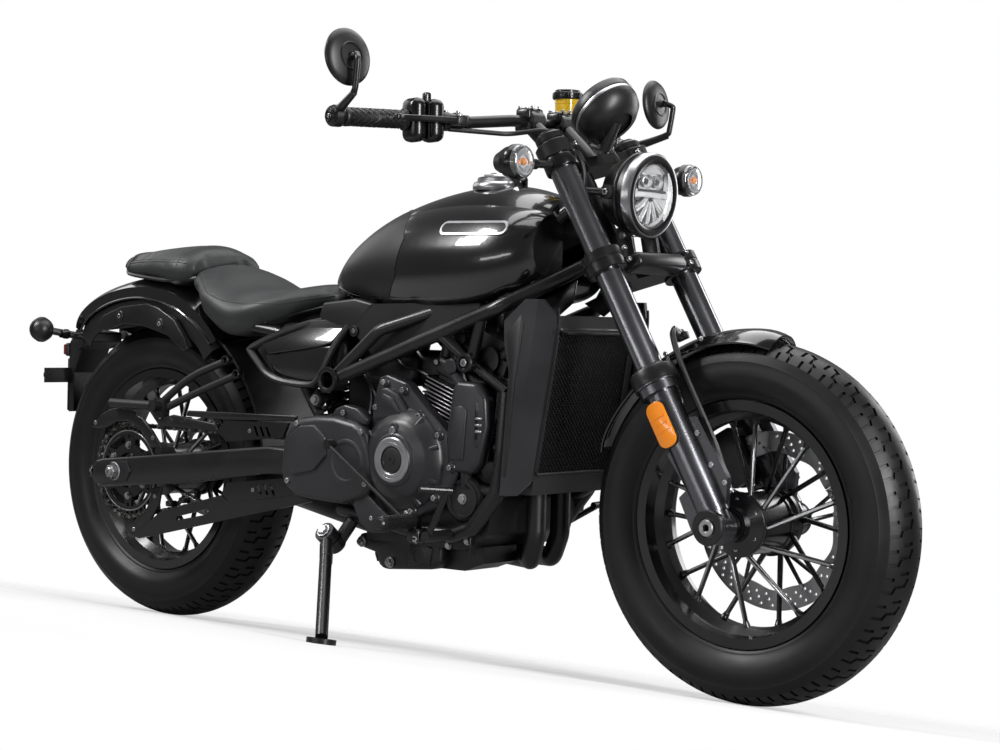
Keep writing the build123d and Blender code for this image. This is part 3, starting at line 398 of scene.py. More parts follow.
def gathered(shapes):
    """One shape from several."""
    whole = bmesh.new()
    for shape in shapes:
        mesh = bpy.data.meshes.new("part")
        shape.to_mesh(mesh)
        whole.from_mesh(mesh)
        shape.free()
        bpy.data.meshes.remove(mesh)
    return whole


def linked(name, data):
    """A new object in the scene."""
    thing = bpy.data.objects.new(name, data)
    bpy.context.scene.collection.objects.link(thing)
    return thing


def piece(name, body, layers, replaces=(), sharp=38.0):
    """A named object, from the shapes that each of its finishes covers."""
    mesh = bpy.data.meshes.new(name)
    shapes = []
    for index, (finish, group) in enumerate(layers.items()):
        mesh.materials.append(MATERIALS[finish])
        for shape in group:
            for face in shape.faces:
                face.material_index = index
                face.smooth = True
            shapes.append(shape)
    whole = gathered(shapes)
    whole.transform(STOOD)
    whole.to_mesh(mesh)
    whole.free()
    mesh.set_sharp_from_angle(angle=math.radians(sharp))
    thing = linked(name, mesh)
    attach(thing, body)
    if replaces:
        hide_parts(*replaces)


# ---------------------------------------------------------------- sizes a user may change
class MotorcycleSizes(bpy.types.PropertyGroup):
    """Sizes of the finer forms, in millimetres, and the colours of the studio."""
    tread_pitches: bpy.props.IntProperty(
        name="Tread pitches", description="Groove pairs round each tyre", default=40, min=12)
    groove_depth: bpy.props.FloatProperty(
        name="Groove depth", description="Depth of the tread grooves, mm", default=4.5)
    groove_width: bpy.props.FloatProperty(
        name="Groove width", description="Width of the tread grooves, mm", default=6.0)
    mesh_pitch: bpy.props.FloatProperty(
        name="Radiator mesh pitch", description="Distance between mesh wires, mm", default=7.5)
    link_pitch: bpy.props.FloatProperty(
        name="Chain pitch", description="Distance between the chain's pins, mm", default=15.875)
    floor_colour: bpy.props.FloatVectorProperty(
        name="Floor", description="Colour of the studio floor", subtype="COLOR",
        default=(0.34, 0.34, 0.34))


# --------------------------------------------------------------------------- the tyres
# The grooves of one half, as X across from the middle and Y along one pitch, on a band whose half
# width and pitch are these.
GROOVE_HALF, GROOVE_PITCH = 56.0, 50.0
GROOVES = [[(56, 3), (37, 6), (33, 17), (16, 20), (12, 30)], [(52, 27), (41, 29)], [(27, 40), (14, 42)]]


def cut_groove(bm, start, end, width):
    """Cuts the four sides of a straight groove into the flat band and takes out its floor."""
    run = (end - start).normalized()
    square = Vector((-run.y, run.x, 0))
    low, high = start - run * width * 0.5, end + run * width * 0.5
    reach = (high - low).length

    def along(face):
        return (face.calc_center_median() - low).dot(run)

    def beside(face):
        return abs((face.calc_center_median() - start).dot(square))

    for origin, normal in ((start + square * width / 2, square),
                           (start - square * width / 2, square), (low, run), (high, run)):
        geom = set()
        for face in bm.faces:
            if -width < along(face) < reach + width and beside(face) < 9:
                geom.update([face, *face.edges, *face.verts])
        bmesh.ops.bisect_plane(bm, geom=list(geom), plane_co=origin, plane_no=normal, dist=0.02)
    gone = [f for f in bm.faces if 0 < along(f) < reach and beside(f) < width / 2]
    bmesh.ops.delete(bm, geom=gone, context="FACES")


def tread_strip(half, length, pitches, width, depth):
    """The flat tread band: blocks standing between zigzag grooves."""
    bm = bmesh.new()
    pitch = length / pitches
    bmesh.ops.create_grid(bm, x_segments=10, y_segments=3, size=1.0)
    bm.transform(Matrix.Translation((0, pitch / 2, 0)) @ Matrix.Diagonal((half, pitch / 2, 1, 1)))
    scale = half / GROOVE_HALF
    for side in SIDES:
        stagger = 0.5 * pitch if side > 0 else 0
        for route in GROOVES:
            line = [Vector((side * x * scale, (y / GROOVE_PITCH * pitch + stagger) % pitch, 0))
                    for x, y in route]
            for start, end in zip(line, line[1:]):
                # The stretch that would wrap round the pitch's end is left out.
                if abs(end.y - start.y) <= pitch * 0.6:
                    cut_groove(bm, start, end, width)
    first = bm.verts[:] + bm.edges[:] + bm.faces[:]
    for number in range(1, pitches):
        copy = bmesh.ops.duplicate(bm, geom=first)["geom"]
        bmesh.ops.translate(bm, vec=(0, number * pitch, 0), verts=vertices(copy))
    bmesh.ops.remove_doubles(bm, verts=bm.verts, dist=0.05)
    thickened(bm, bm.faces[:], (0, 0, depth))
    ends = [f for f in bm.faces if all(v.co.y < 0.05 for v in f.verts)
            or all(v.co.y > length - 0.05 for v in f.verts)]
    bmesh.ops.delete(bm, geom=ends, context="FACES")
    return bm


def tyre(axle, radius, width, rim_width, sizes):
    """A tyre: a carcass whose sidewall bulges, under a band of tread blocks."""
    depth = sizes.groove_depth
    chord, sag = 0.40 * width, 21.0
    arc = (chord ** 2 + sag ** 2) / (2 * sag)
    half = arc * math.asin(chord / arc) * 1.04
    band = tread_strip(half, math.tau * radius, sizes.tread_pitches, sizes.groove_width, depth)
    for vert in band.verts:
        across, round_it, lift = vert.co
        rise, out = polar(arc - depth + lift, across / arc)
        x, z = polar(radius - arc + rise, round_it / radius)
        vert.co = axle + Vector((x, out, z))
    outward(band)
    seat, wide, base = rim_width / 2, width / 2, radius - depth + 0.3
    side = [(208, seat - 12), (218, seat - 12), (219.5, seat - 2), (224, seat + 1.5),
            (226, seat + 1.8), (229, seat + 4.4), (236, wide - 7.5), (246, wide - 2.8),
            (256, wide - 0.6), (264, wide), (273, wide - 0.7), (282, wide - 2.9),
            (284, wide - 2.6), (286, wide - 4.2), (radius - 27, wide - 8.5),
            (radius - 21.5, chord + 1.0)]
    side += [(base - arc + arc * math.cos(half / arc * t),
              (arc - depth + 0.3) * math.sin(half / arc * t)) for t in (0.96, 0.75, 0.5, 0.25)]
    profile = side + [(base, 0)] + [(r, -y) for r, y in reversed(side)]
    return [turned(profile, facing(axle, ACROSS), 120, closed=True), band]


class AddTyres(bpy.types.Operator):
    """Two road tyres with staggered zigzag grooves"""
    bl_idname = "motorcycle.tyres"
    bl_label = "Tyres"

    def execute(self, context):
        for end, axle, radius, width, rim_width in (
                ("front", FRONT_AXLE, FRONT_RADIUS, 127.0, 96.0),
                ("rear", REAR_AXLE, REAR_RADIUS, 149.0, 110.0)):
            shapes = tyre(axle, radius, width, rim_width, context.scene.motorcycle)
            piece(end + "_tyre_tread", end + "_wheel", {"tyre_rubber": shapes},
                  [end + "_tyre"], 30)
        return {"FINISHED"}


# ----------------------------------------------------------------------- wheels' finer forms
def ringed(centre, radius, count, phase=0.0, y=0.0):
    """Points evenly round an axle."""
    return [angled(centre, radius, turn, y) for turn in around(count, phase)]


def pierced(loops, place, thick):
    """A plate between an outer outline and the holes in it, from closed loops of X and Y."""
    bm = bmesh.new()
    edges = []
    for loop in loops:
        points = [bm.verts.new((x, y, 0)) for x, y in loop]
        edges += [bm.edges.new(pair) for pair in zip(points, points[1:] + points[:1])]
    bmesh.ops.triangle_fill(bm, use_beauty=True, use_dissolve=False, edges=edges, normal=(0, 0, 1))
    thickened(bm, bm.faces[:], (0, 0, thick))
    bmesh.ops.recalc_face_normals(bm, faces=bm.faces)
    bm.transform(place)
    return bm


def circle(x, y, radius, steps=12):
    """A round outline about a point."""
    spots = [polar(radius, math.tau * n / steps) for n in range(steps)]
    return [(x + dx, y + dy) for dx, dy in spots]


def waved(radius, depth, waves, steps):
    """A closed outline whose radius rises and falls, as on a sprocket or a scalloped ring."""
    turns = [math.tau * n / steps for n in range(steps)]
    return [polar(radius + depth * math.cos(waves * turn), turn) for turn in turns]


def brake_disc(axle, y, outer, inner, arms, thick=5.0):
    """A drilled disc ring on a spider of swept arms."""
    holes = []
    for radius, phase in ((outer - 9, 0.0), (0.5 * (outer + inner), 3.0), (inner + 10, 6.0)):
        for n, turn in enumerate(around(40, phase)):
            # Every fourth place stays bare, which leaves the bands between the drilled groups.
            if n % 4 != 3:
                holes.append(circle(*polar(radius, math.radians(turn)), 3.2, 8))
    ring = pierced([circle(0, 0, outer, 120), waved(inner, 2.5, 10, 120)] + holes,
                   facing(axle + ACROSS * y, ACROSS, ALONG), thick)
    hub = turned([(43.6, -1), (57, -1), (58, 1), (58, thick - 1), (56, thick + 1), (43.6, thick + 1)],
                 facing(axle + ACROSS * y, ACROSS), 60, closed=True)
    spider, pins = [hub], []
    for turn in around(arms):
        for lead in (10, 26):
            tip = angled(axle, inner + 5, turn + lead, y + thick / 2)
            spider.append(rod(angled(axle, 50, turn, y + thick / 2), tip, 9, 7, 8))
            pins.append(bolt(tip - ACROSS * (thick / 2 + 0.5), -ACROSS, 11, 3))
        spider.append(bolt(angled(axle, 50, turn + 6, y + thick + 0.5), ACROSS, 10, 2.6))
    return ring, spider, pins


class AddDiscs(bpy.types.Operator):
    """Drilled brake discs"""
    bl_idname = "motorcycle.discs"
    bl_label = "Brake discs"

    def execute(self, context):
        for end, axle, y, outer, inner in (("front", FRONT_AXLE, 68.5, 160.0, 122.0),
                                           ("rear", REAR_AXLE, 84.5, 110.0, 82.0)):
            ring, spider, pins = brake_disc(axle, y, outer, inner, 5)
            piece(end + "_disc_drilled", end + "_wheel",
                  {"ground_stainless": [ring], "black_wheel_enamel": spider, "plated_steel": pins},
                  [end + "_disc"])
        return {"FINISHED"}


# The drum's half width on each side of a wheel.
DRUM_Y = {-1: 52.0, 1: 46.0}


class AddWheelTrim(bpy.types.Operator):
    """Machined spoke faces, hub rings, hub bolts and tyre valves"""
    bl_idname = "motorcycle.wheel_trim"
    bl_label = "Wheel trim"

    def execute(self, context):
        for end, axle, phase, flank in (("front", FRONT_AXLE, 17.0, 84), ("rear", REAR_AXLE, 5.0, 90)):
            faces, dark, bright = [], [], []
            for n, turn in enumerate(around(20, phase)):
                sense = 1 if n % 2 else -1
                root = angled(axle, 52, turn + sense * 22.0, sense * 41.5)
                tip = angled(axle, 184, turn, sense * 6.5)
                run = tip - root
                place = facing((root + tip) / 2 + ACROSS * sense * 4.3, run, ACROSS)
                faces.append(block((4.2, 1.6, run.length), place, 0.5, 1))
                dark.append(rod(tip - run.normalized() * 12, tip, 10, 15, 12))
            for side in SIDES:
                wide, out = DRUM_Y[side], ACROSS * side
                dark.append(turned([(54.8, 0), (57.5, 1), (57.5, 6), (54.8, 7)],
                                   facing(axle + out * (wide - 9), out), 60))
                bright += [bolt(at, out, 8, 4) for at in ringed(axle, 43, 6, 30, side * wide)]
            dark.append(turned([(25, 0), (28.5, 0.5), (28.5, 9), (24.2, 10)],
                               facing(axle - ACROSS * (flank - 14), -ACROSS), 48))
            stem = angled(axle, 184, phase + 9, 12)
            inward = (axle + ACROSS * 12 - stem).normalized()
            dark.append(rod(stem, stem + inward * 20, 9, 7, 12))
            bright.append(rod(stem + inward * 20, stem + inward * 31, 5.5, 5, 12))
            piece(end + "_wheel_trim", end + "_wheel",
                  {"machined_aluminium": faces, "black_wheel_enamel": dark, "plated_steel": bright})
        return {"FINISHED"}


# --------------------------------------------------------------------------- the fork
class AddForkTrim(bpy.types.Operator):
    """Clamp rings, caps, seals, lower yoke, brake hose, reflectors and the axle's ends"""
    bl_idname = "motorcycle.fork_trim"
    bl_label = "Fork trim"

    def execute(self, context):
        dark, bright, amber, rubber = [], [], [], []
        for side in SIDES:
            reach, out = side * FORK_SPREAD, ACROSS * side
            dark.append(turned([(33.5, -20), (36.5, -18.5), (37, -3), (35, -1), (35, 1), (37, 3),
                                (36.5, 18.5), (33.5, 20)], facing(fork_point(771, reach), FORK_UP), 60))
            dark.append(turned([(31.8, -14), (34, -12), (34, 12), (31.8, 14)],
                               facing(fork_point(972, reach), FORK_UP), 60))
            # The cap: a stepped ring, then its hexagon.
            top = fork_point(1000, reach)
            dark.append(turned([(25.2, -14), (27, -12), (27, -2), (24, 1.5), (18, 2), (17, 6)],
                               facing(top, FORK_UP), 48))
            bright.append(bolt(top + FORK_UP * 5.5, FORK_UP, 22, 5, "hex"))
            # The seal's lip where the tube leaves the leg.
            collar = fork_point(583, reach)
            rubber.append(turned([(25.1, 7), (27.5, 6.5), (32, 2), (36.5, 0), (36.5, -4), (25.1, -4)],
                                 facing(collar, FORK_UP), 60, closed=True))
            dark.append(turned([(41, -27.5), (42.2, -26), (42.2, -3), (40.5, -0.3), (37, 0.2)],
                               facing(collar, FORK_UP), 72))
            for height, y, ahead in ((761, 96, 34.5), (781, 96, 34.5), (972, 97, 30.5)):
                bright.append(bolt(fork_point(height, side * y, ahead), FORK_AHEAD, 9, 7))
            for x, z in ((698, 480), (728, 427), (757, 398)):
                bright.append(bolt((x, side * 116.2, z), out, 10, 3))
            # The oblong reflector on the leg's outer side, in its black tray.
            place = facing(fork_point(495, side * 147, -6), out, FORK_UP)
            dark.append(slab(pill_outline(42, 88, 17), -7, 0, place, 1.5))
            amber.append(slab(pill_outline(38, 84, 15), 0, 4.5, place, 1.6))
            for lift in (-13, 0, 13):
                amber.append(block((30, 1.2, 0.8), shifted(place, 0, lift, 4.6)))
            # Axle ends and their pinch bolts.
            end = facing(FRONT_AXLE + out * 143, out)
            dark.append(turned([(17, -4), (30.5, -3), (31, 2), (29, 4), (17, 4)], end, 48))
            bright.append(turned([(6.2, -1), (6.2, 7), (7.6, 8.2), (13, 8.2), (14.6, 6.6), (14.6, -1)],
                                 end, 48))
            for drop in (-12, 12):
                bright.append(bolt(FRONT_AXLE + Vector((drop, side * 118, -31)), -UP, 8, 6))
        # The lower yoke's casting and the headlamp's two brackets on it.
        dark.append(block((150, 44, 28), facing(fork_point(762, 0, 24), FORK_UP, FORK_AHEAD), 9, 3))
        for side in SIDES:
            dark.append(side_plate([(453, 836), (470, 844), (492, 824), (504, 776), (490, 752),
                                    (470, 752), (463, 790)],
                                   side * 34, side * 42, 3, 3))
            for x, z in ((474, 824), (483, 770)):
                bright.append(bolt((x, side * 42.5, z), ACROSS * side, 13, 6))
        # The brake hose with its ferrules and the clip that holds it to the mudguard.
        route = [angled(FRONT_AXLE, 356, 112, -52), fork_point(640, -70, 44), fork_point(600, -86, 44),
                 fork_point(560, -92, 44), fork_point(420, -92, 44), fork_point(372, -90, 30)]
        hose = bent(route, 11, 14)
        for start, end in (route[:2], (route[-1], route[-2])):
            run = (end - start).normalized()
            bright.append(rod(start - run * 3, start + run * 16, 13, 12, 20))
            bright.append(bolt(start - run * 2, -run, 15, 5, "hex"))
        clip = angled(FRONT_AXLE, 349, 112, -48)
        dark.append(block((26, 16, 14), facing(clip, angled(Vector(), 1, 112, 0), ACROSS), 3, 2))
        piece("brake_hose_dressed", "steering", {"moulded_rubber": [hose]},
              ["brake_hose"])
        piece("fork_trim", "steering",
              {"satin_powder_coat": dark, "plated_steel": bright, "moulded_rubber": rubber})
        piece("fork_reflectors", "steering", {"amber_acrylic": amber})
        return {"FINISHED"}


def pill_outline(wide, high, corner, steps=5):
    """A rounded oblong about the origin."""
    outline = []
    for quarter, (sx, sy) in enumerate(((1, 1), (-1, 1), (-1, -1), (1, -1))):
        for n in range(steps + 1):
            x, y = polar(corner, math.radians(90 * (quarter + n / steps)))
            outline.append((sx * (wide / 2 - corner) + x, sy * (high / 2 - corner) + y))
    return outline


class AddFrontFender(bpy.types.Operator):
    """Crowned front mudguard with a rolled edge"""
    bl_idname = "motorcycle.front_fender"
    bl_label = "Front mudguard"

    def execute(self, context):
        half, crown, rows = 63.0, 342.0, 16
        arch = []
        for n in range(1, rows):
            y = half * math.cos(math.pi * n / rows)
            arch.append((crown - 26.0 * (abs(y) / half) ** 2.6, y))
        edge = [(315.5, 62.2), (314.6, 64.4), (317.5, 65.0)]
        section = edge + arch + [(r, -y) for r, y in reversed(edge)]
        section += [(r - 2.6, -y * 0.957) for r, y in arch]
        bm = bmesh.new()
        face = bm.faces.new([bm.verts.new((r, 0, -y)) for r, y in section])
        start, stop = 80.5, 160.0
        bmesh.ops.spin(bm, geom=[face], cent=(0, 0, 0), axis=(0, 0, 1),
                       angle=math.radians(stop - start), steps=36, use_merge=False)
        outward(bm)
        # Both ends narrow, and the front one dips towards the tyre.
        for vert in bm.verts:
            turn = math.degrees(math.atan2(vert.co.y, vert.co.x))
            tip = max(0.0, 1 - turn / 9.0)
            tail = max(0.0, 1 - (stop - start - turn) / 9.0)
            vert.co.z *= 1 - 0.30 * tip ** 2 - 0.16 * tail ** 2
            shrink = 1 - 0.018 * tip ** 2
            vert.co.x *= shrink
            vert.co.y *= shrink
        bm.transform(spun(Matrix.Translation(FRONT_AXLE) @ SIDE_ON, start))
        stays, bolts = [], []
        for side in SIDES:
            foot = fork_point(520, side * 90, 12)
            for turn, radius, knee, above, end, wide in (
                    (118, 322, 118, (0, 0, 14), (0, 0, 0), 10),
                    (134, 320, 133, (-6, 0, 16), (-8, 0, 2), 9)):
                stays.append(bent([angled(FRONT_AXLE, radius, turn, side * 60),
                                   angled(FRONT_AXLE, 312, knee, side * 74),
                                   foot + Vector(above), foot + Vector(end)], wide))
            bolts += [bolt(angled(FRONT_AXLE, 331, turn, side * 60.5), ACROSS * side, 9, 3)
                      for turn in (104, 118, 132)]
        piece("front_mudguard", "steering",
              {"gloss_black_enamel": [bm], "satin_powder_coat": stays, "plated_steel": bolts},
              ["front_fender"], 50)
        return {"FINISHED"}


# --------------------------------------------------------------------------- the lamps
# The headlamp's middle and the way it looks.
LAMP = Vector((478, 0, 900))
LAMP_AHEAD = Vector((1, 0, -0.08)).normalized()


class AddHeadlamp(bpy.types.Operator):
    """Round headlamp: bezel, light bar, reflectors and lens"""
    bl_idname = "motorcycle.headlamp"
    bl_label = "Headlamp"

    def execute(self, context):
        place = facing(LAMP, LAMP_AHEAD, UP)
        bezel = turned([(71.8, 30), (73, 31.6), (75.4, 31), (77.5, 28), (78, 14), (76.4, 12)],
                       place, 96)
        band = turned([(75.8, -8), (77.2, -6), (77.2, -2), (75.8, 0)], place, 96)
        silver = [turned([(0, 17), (24, 17.2), (44, 18.6), (53, 21), (57, 25)], place, 72)]
        dark = [turned([(55, 22), (56.5, 28), (60, 31), (66, 32.6), (71, 32), (72.4, 29.6), (66.5, 22)],
                       place, 96)]
        white = []

        def put(group, size, x, y, z, turn=0.0, edge=1.5):
            group.append(block(size, shifted(spun(place, turn), x, y, z), edge))

        # The light bar with its upturned ends, and the two projectors above it.
        put(white, (104, 9, 8), 0, 1, 24)
        put(dark, (104, 4, 5), 0, 8.5, 22)
        put(silver, (64, 30, 4), 0, 25, 19)
        for side in SIDES:
            put(white, (11, 16, 7), side * 50, 3, 23.5)
            put(dark, (3, 44, 5), side * 37, 27, 21)
            silver.append(turned([(0, 0), (6, 0.6), (11, 4), (13, 9)],
                                 shifted(place, side * 17, 25, 18), 32))
            dark.append(turned([(0, 7), (4.5, 6.4), (6, 3), (6, 0)],
                               shifted(place, side * 17, 25, 18.5), 24))
        # The fan of lower reflectors, each with its light guide, and the walls between them.
        for turn in (-54, -27, 0, 27, 54):
            put(silver, (13, 40, 5), 0, -30, 20.5, turn, 2)
            put(white, (3.2, 34, 3), 0, -29, 23.6, turn, 1)
        for turn in (-40.5, -13.5, 13.5, 40.5):
            put(dark, (3, 40, 4), 0, -30, 21, turn, 0.8)
        cover = turned([(0, 36.5), (22, 35.9), (44, 34), (56, 31.6), (59.4, 31), (59.4, 30.2),
                        (56, 29.8), (44, 32), (22, 33.9), (0, 34.5)], place, 96)
        back = [bolt(LAMP + ACROSS * side * 86 - LAMP_AHEAD * 14, ACROSS * side, 13, 5)
                for side in SIDES]
        piece("headlamp_bezel", "steering",
              {"machined_aluminium": [bezel], "smooth_abs": dark, "textured_abs": [band],
               "plated_reflector": silver, "white_diffuser": white, "plated_steel": back})
        piece("headlamp_lens", "steering", {"clear_polycarbonate": [cover]})
        return {"FINISHED"}


class AddIndicators(bpy.types.Operator):
    """Front indicators with ribbed bowls and clear lenses, and the rear ones' rims"""
    bl_idname = "motorcycle.indicators"
    bl_label = "Indicators"

    def execute(self, context):
        dark, silver, amber, clear, rear = [], [], [], [], []
        for side in SIDES:
            out = ACROSS * side
            place = facing((399, side * 263, 944), ALONG, UP)
            dark.append(turned([(29.5, -6), (31.2, -4), (31.2, 7), (30, 9), (27.5, 9)], place, 60))
            silver.append(turned([(0, 15.2), (9, 15.4), (20, 16.4), (27, 19)], place, 60))
            for turn in around(28):
                silver.append(block((0.9, 15, 2.6), shifted(spun(place, turn), 0, 19, 17.6)))
            for r in (12, 20):
                silver.append(turned([(r, 15.5), (r + 0.5, 18.4), (r + 1.2, 18.4), (r + 1.7, 15.5)],
                                     place, 48))
            amber.append(turned([(0, 21), (4, 20.4), (6.5, 18), (7, 15.2)], place, 28))
            for x in (-15, 15):
                amber.append(turned([(0, 19.4), (2.2, 18.8), (3, 16.4)], shifted(place, x, -1, 0), 16))
            clear.append(turned([(0, 24), (14, 23), (24, 20), (29, 15.6), (30, 9.4), (28.6, 9.4),
                                 (27.6, 15), (23, 18.8), (14, 21.8), (0, 22.8)], place, 72))
            # The stalk's collar and the clamp round the fork tube.
            dark.append(turned([(7.2, 0), (9.5, 2), (9.5, 12), (7.2, 14)],
                               facing((376, side * 192, 946), -out), 28))
            dark.append(turned([(24.5, 0), (31, 1), (31.5, 3), (31.5, 21), (31, 23), (24.5, 24)],
                               facing(fork_point(938, side * FORK_SPREAD), FORK_UP), 60))
            rear.append(turned([(27.0, -3), (28.2, -2), (28.2, 2), (27.0, 3)],
                               facing((-1062, side * 130, 616), ALONG), 60))
            rear.append(turned([(8.4, 0), (11, 1), (11, 8), (9, 15), (8.4, 20)],
                               facing((-1030, side * 82, 607), out), 28))
        piece("front_indicator_bowls", "steering",
              {"smooth_abs": dark, "plated_reflector": silver, "amber_acrylic": amber})
        piece("front_indicator_lenses", "steering", {"clear_polycarbonate": clear})
        piece("rear_indicator_trim", "frame", {"smooth_abs": rear})
        return {"FINISHED"}


class AddInstrument(bpy.types.Operator):
    """The round instrument's bright ring, dark glass and scale"""
    bl_idname = "motorcycle.instrument"
    bl_label = "Instrument"

    def execute(self, context):
        place = facing((398, 0, 1054), (-0.72, 0, 0.69), UP)
        ring = turned([(62, -0.5), (64.6, 1), (65, 5.5), (63.8, 8.2), (62, 8.5)], place, 96)
        shell = turned([(30, -38), (44, -34), (58, -21), (63.5, -6), (64.2, 0), (62.2, 1)], place, 96)
        hood = turned([(62.2, 8), (64.6, 10), (64.2, 22), (60, 27.5), (55, 28.5), (54, 25)], place, 96)
        rim = turned([(54.5, 26.5), (53, 28.8), (51.5, 28.8), (51, 25.5)], place, 96)
        glass = turned([(0, 26.5), (40, 26.2), (52, 25.4), (52, 24.2), (0, 24.2)], place, 72)
        ticks, marks = [], 41
        for n in range(marks):
            long = 7.0 if n % 5 == 0 else 3.5
            spot = spun(place, -130 + 260 * n / (marks - 1))
            ticks.append(block((1.0, long, 0.5), shifted(spot, 0, 46 - long / 2, 26.6)))
        needle = block((1.8, 36, 0.8), shifted(spun(place, 130), 0, 15, 27.6), 0.3)
        hub = turned([(0, 29.5), (5, 29), (6, 26.6)], place, 28)
        plate = block((30, 12, 0.8), shifted(place, 0, -26, 26.5), 0.3)
        piece("instrument_head", "steering",
              {"textured_abs": [shell, hood, hub], "machined_aluminium": [ring, rim],
               "gloss_black_enamel": [glass], "white_diffuser": ticks,
               "amber_acrylic": [needle], "plated_reflector": [plate]})
        return {"FINISHED"}


class AddReservoir(bpy.types.Operator):
    """Front brake reservoir: amber cup under a knurled black cap"""
    bl_idname = "motorcycle.reservoir"
    bl_label = "Brake reservoir"

    def execute(self, context):
        place = facing((189, 150, 1092), UP, ALONG)
        fluid = [turned([(0, -26), (20, -25.5), (23.4, -23), (24.6, 0), (25, 9), (0, 9)], place, 64),
                 turned([(24.4, -2), (25.1, -1.6), (25.1, -0.6), (24.5, 0)], place, 64)]
        dark = [turned([(24, 7), (28.4, 7.4), (29, 9), (29, 20), (27.6, 21), (25, 21.4),
                        (24.6, 24.6), (23, 26), (0, 26.2)], place, 72),
                bent([(206, 150, 1036), (204, 150, 1050), (192, 150, 1058), (189, 150, 1068)], 15),
                block((34, 22, 14), facing((208, 150, 1036), UP, ALONG), 4)]
        for turn in around(30):
            dark.append(block((2.6, 1.6, 11), shifted(spun(place, turn), 0, 28.9, 14), 0.5, 1))
        piece("reservoir_cup", "steering",
              {"honey_fluid": fluid, "smooth_abs": dark}, ["brake_reservoir"])
        return {"FINISHED"}


# The left grip's outer end, and the bend that it runs to.
BAR_END = (131, 440, 1019)
BAR_BEND = (219, 190, 1025)


class AddControls(bpy.types.Operator):
    """Grips with a diamond pattern, bar-end weights, switch pods, levers and perches"""
    bl_idname = "motorcycle.controls"
    bl_label = "Handlebar controls"

    def execute(self, context):
        rubber, plastic, metal, bright, red = [], [], [], [], []
        for side in SIDES:
            end = Vector((BAR_END[0], side * BAR_END[1], BAR_END[2]))
            inner = Vector((BAR_BEND[0], side * BAR_BEND[1], BAR_BEND[2]))
            along = (inner - end).normalized()
            place = facing(end, along, UP)
            ahead = Vector((-along.y * side, along.x * side, 0)).normalized()

            def spot(run, onward=0.0, lift=0.0):
                """A point from its run along the grip and its way ahead of it and above it."""
                return end + along * run + ahead * onward + UP * lift

            rubber.append(turned([(11, 13), (16.4, 13), (17.6, 15), (17.6, 20), (16.2, 22), (16.2, 128),
                                  (17.8, 131), (20, 133), (20, 137), (11, 138)], place, 40))
            # Two families of ribs wind round the grip against each other.
            for sense in SIDES:
                for n in range(9):
                    line = []
                    for k in range(13):
                        x, y = polar(16.5, math.tau * (n / 9 + sense * k / 12 * 0.9))
                        line.append(place @ Vector((x, y, 24 + 102 * k / 12)))
                    rubber.append(bent(line, 1.9, 4, smooth=False))
            metal.append(turned([(0, -17), (14, -16.4), (17.6, -13), (19, -9), (19, 7), (17, 11),
                                 (11, 12)], place, 48))
            metal.append(turned([(8, -18.5), (10.5, -18.5), (11, -16.2), (8, -16.2)], place, 32,
                                closed=True))
            bright.append(bolt(end - along * 16.6, -along, 9, 1.5))
            # The switch pod: two shells with a seam, and its buttons on the rider's side.
            pod = facing(spot(175), along, UP)
            plastic.append(block((52, 80, 33), shifted(pod, 0, 0, -18.5), 15, 4))
            plastic.append(block((51, 78, 34), shifted(pod, 0, 0, 18.0), 15, 4))
            plastic.append(block((46, 70, 4), pod, 2))
            for run, lift, wide, high in ((160, 20, 16, 12), (176, -2, 20, 16), (194, 16, 10, 18),
                                          (192, -22, 16, 8)):
                group = red if run == 194 and side > 0 else plastic
                group.append(block((wide, high, 9), facing(spot(run, -26, lift), -ahead, UP), 2))
            plastic.append(block((16, 22, 13), facing(spot(181, 0, 40), along, UP), 4))
            # Perch and lever.
            metal.append(turned([(11, 213), (16, 213), (17.4, 215), (17.4, 226), (15.6, 228),
                                 (15.6, 238), (17.4, 240), (17.4, 251), (16, 253), (11, 253)],
                                place, 40))
            flat = Matrix((along, ahead, along.cross(ahead))).transposed().to_4x4()
            flat = Matrix.Translation(end) @ flat
            lever = [(240, 22), (244, 34), (236, 42), (214, 47), (190, 49), (150, 50), (116, 51),
                     (104, 55), (98, 60), (92, 62), (87, 59), (86, 53), (90, 48), (100, 44),
                     (116, 41.5), (150, 40), (190, 38), (206, 36), (216, 30), (220, 20)]
            metal.append(slab(lever, -5.5, 5.5, flat, 3, 3))
            metal.append(slab([(216, 10), (212, 34), (222, 46), (242, 46), (250, 34), (248, 10)],
                              -9, 9, flat, 3, 2))
            bright += [bolt(spot(230, 36, 9), UP, 11, 3), bolt(spot(220, 2, 17), UP, 7, 4),
                       bolt(spot(246, 2, 17), UP, 7, 4)]
            metal.append(turned([(11, 258), (13.6, 259), (13.6, 268), (11, 269)], place, 32))
        # The front brake's master cylinder lies along the left side of the bar.
        end = Vector(BAR_END) + Vector((26, 8, 2))
        along = (Vector(BAR_BEND) - Vector(BAR_END)).normalized()
        metal.append(rod(end + along * 205, end + along * 285, 22, 19, 24))
        # Two-part risers over the top clamp.
        for side in SIDES:
            riser = Vector((252, side * 46, 1038))
            metal.append(block((46, 34, 22), facing(riser + UP * 13, UP, ALONG), 6, 3))
            metal.append(block((48, 34, 18), facing(riser - UP * 11, UP, ALONG), 4, 2))
            for x, y in ((-15, -10), (15, -10), (-15, 10), (15, 10)):
                bright.append(bolt(riser + Vector((x, y, 23.5)), UP, 8, 5))
        piece("bar_controls_dressed", "steering",
              {"moulded_rubber": rubber, "smooth_abs": plastic, "satin_powder_coat": metal,
               "plated_steel": bright, "red_acrylic": red}, ["bar_controls"])
        return {"FINISHED"}


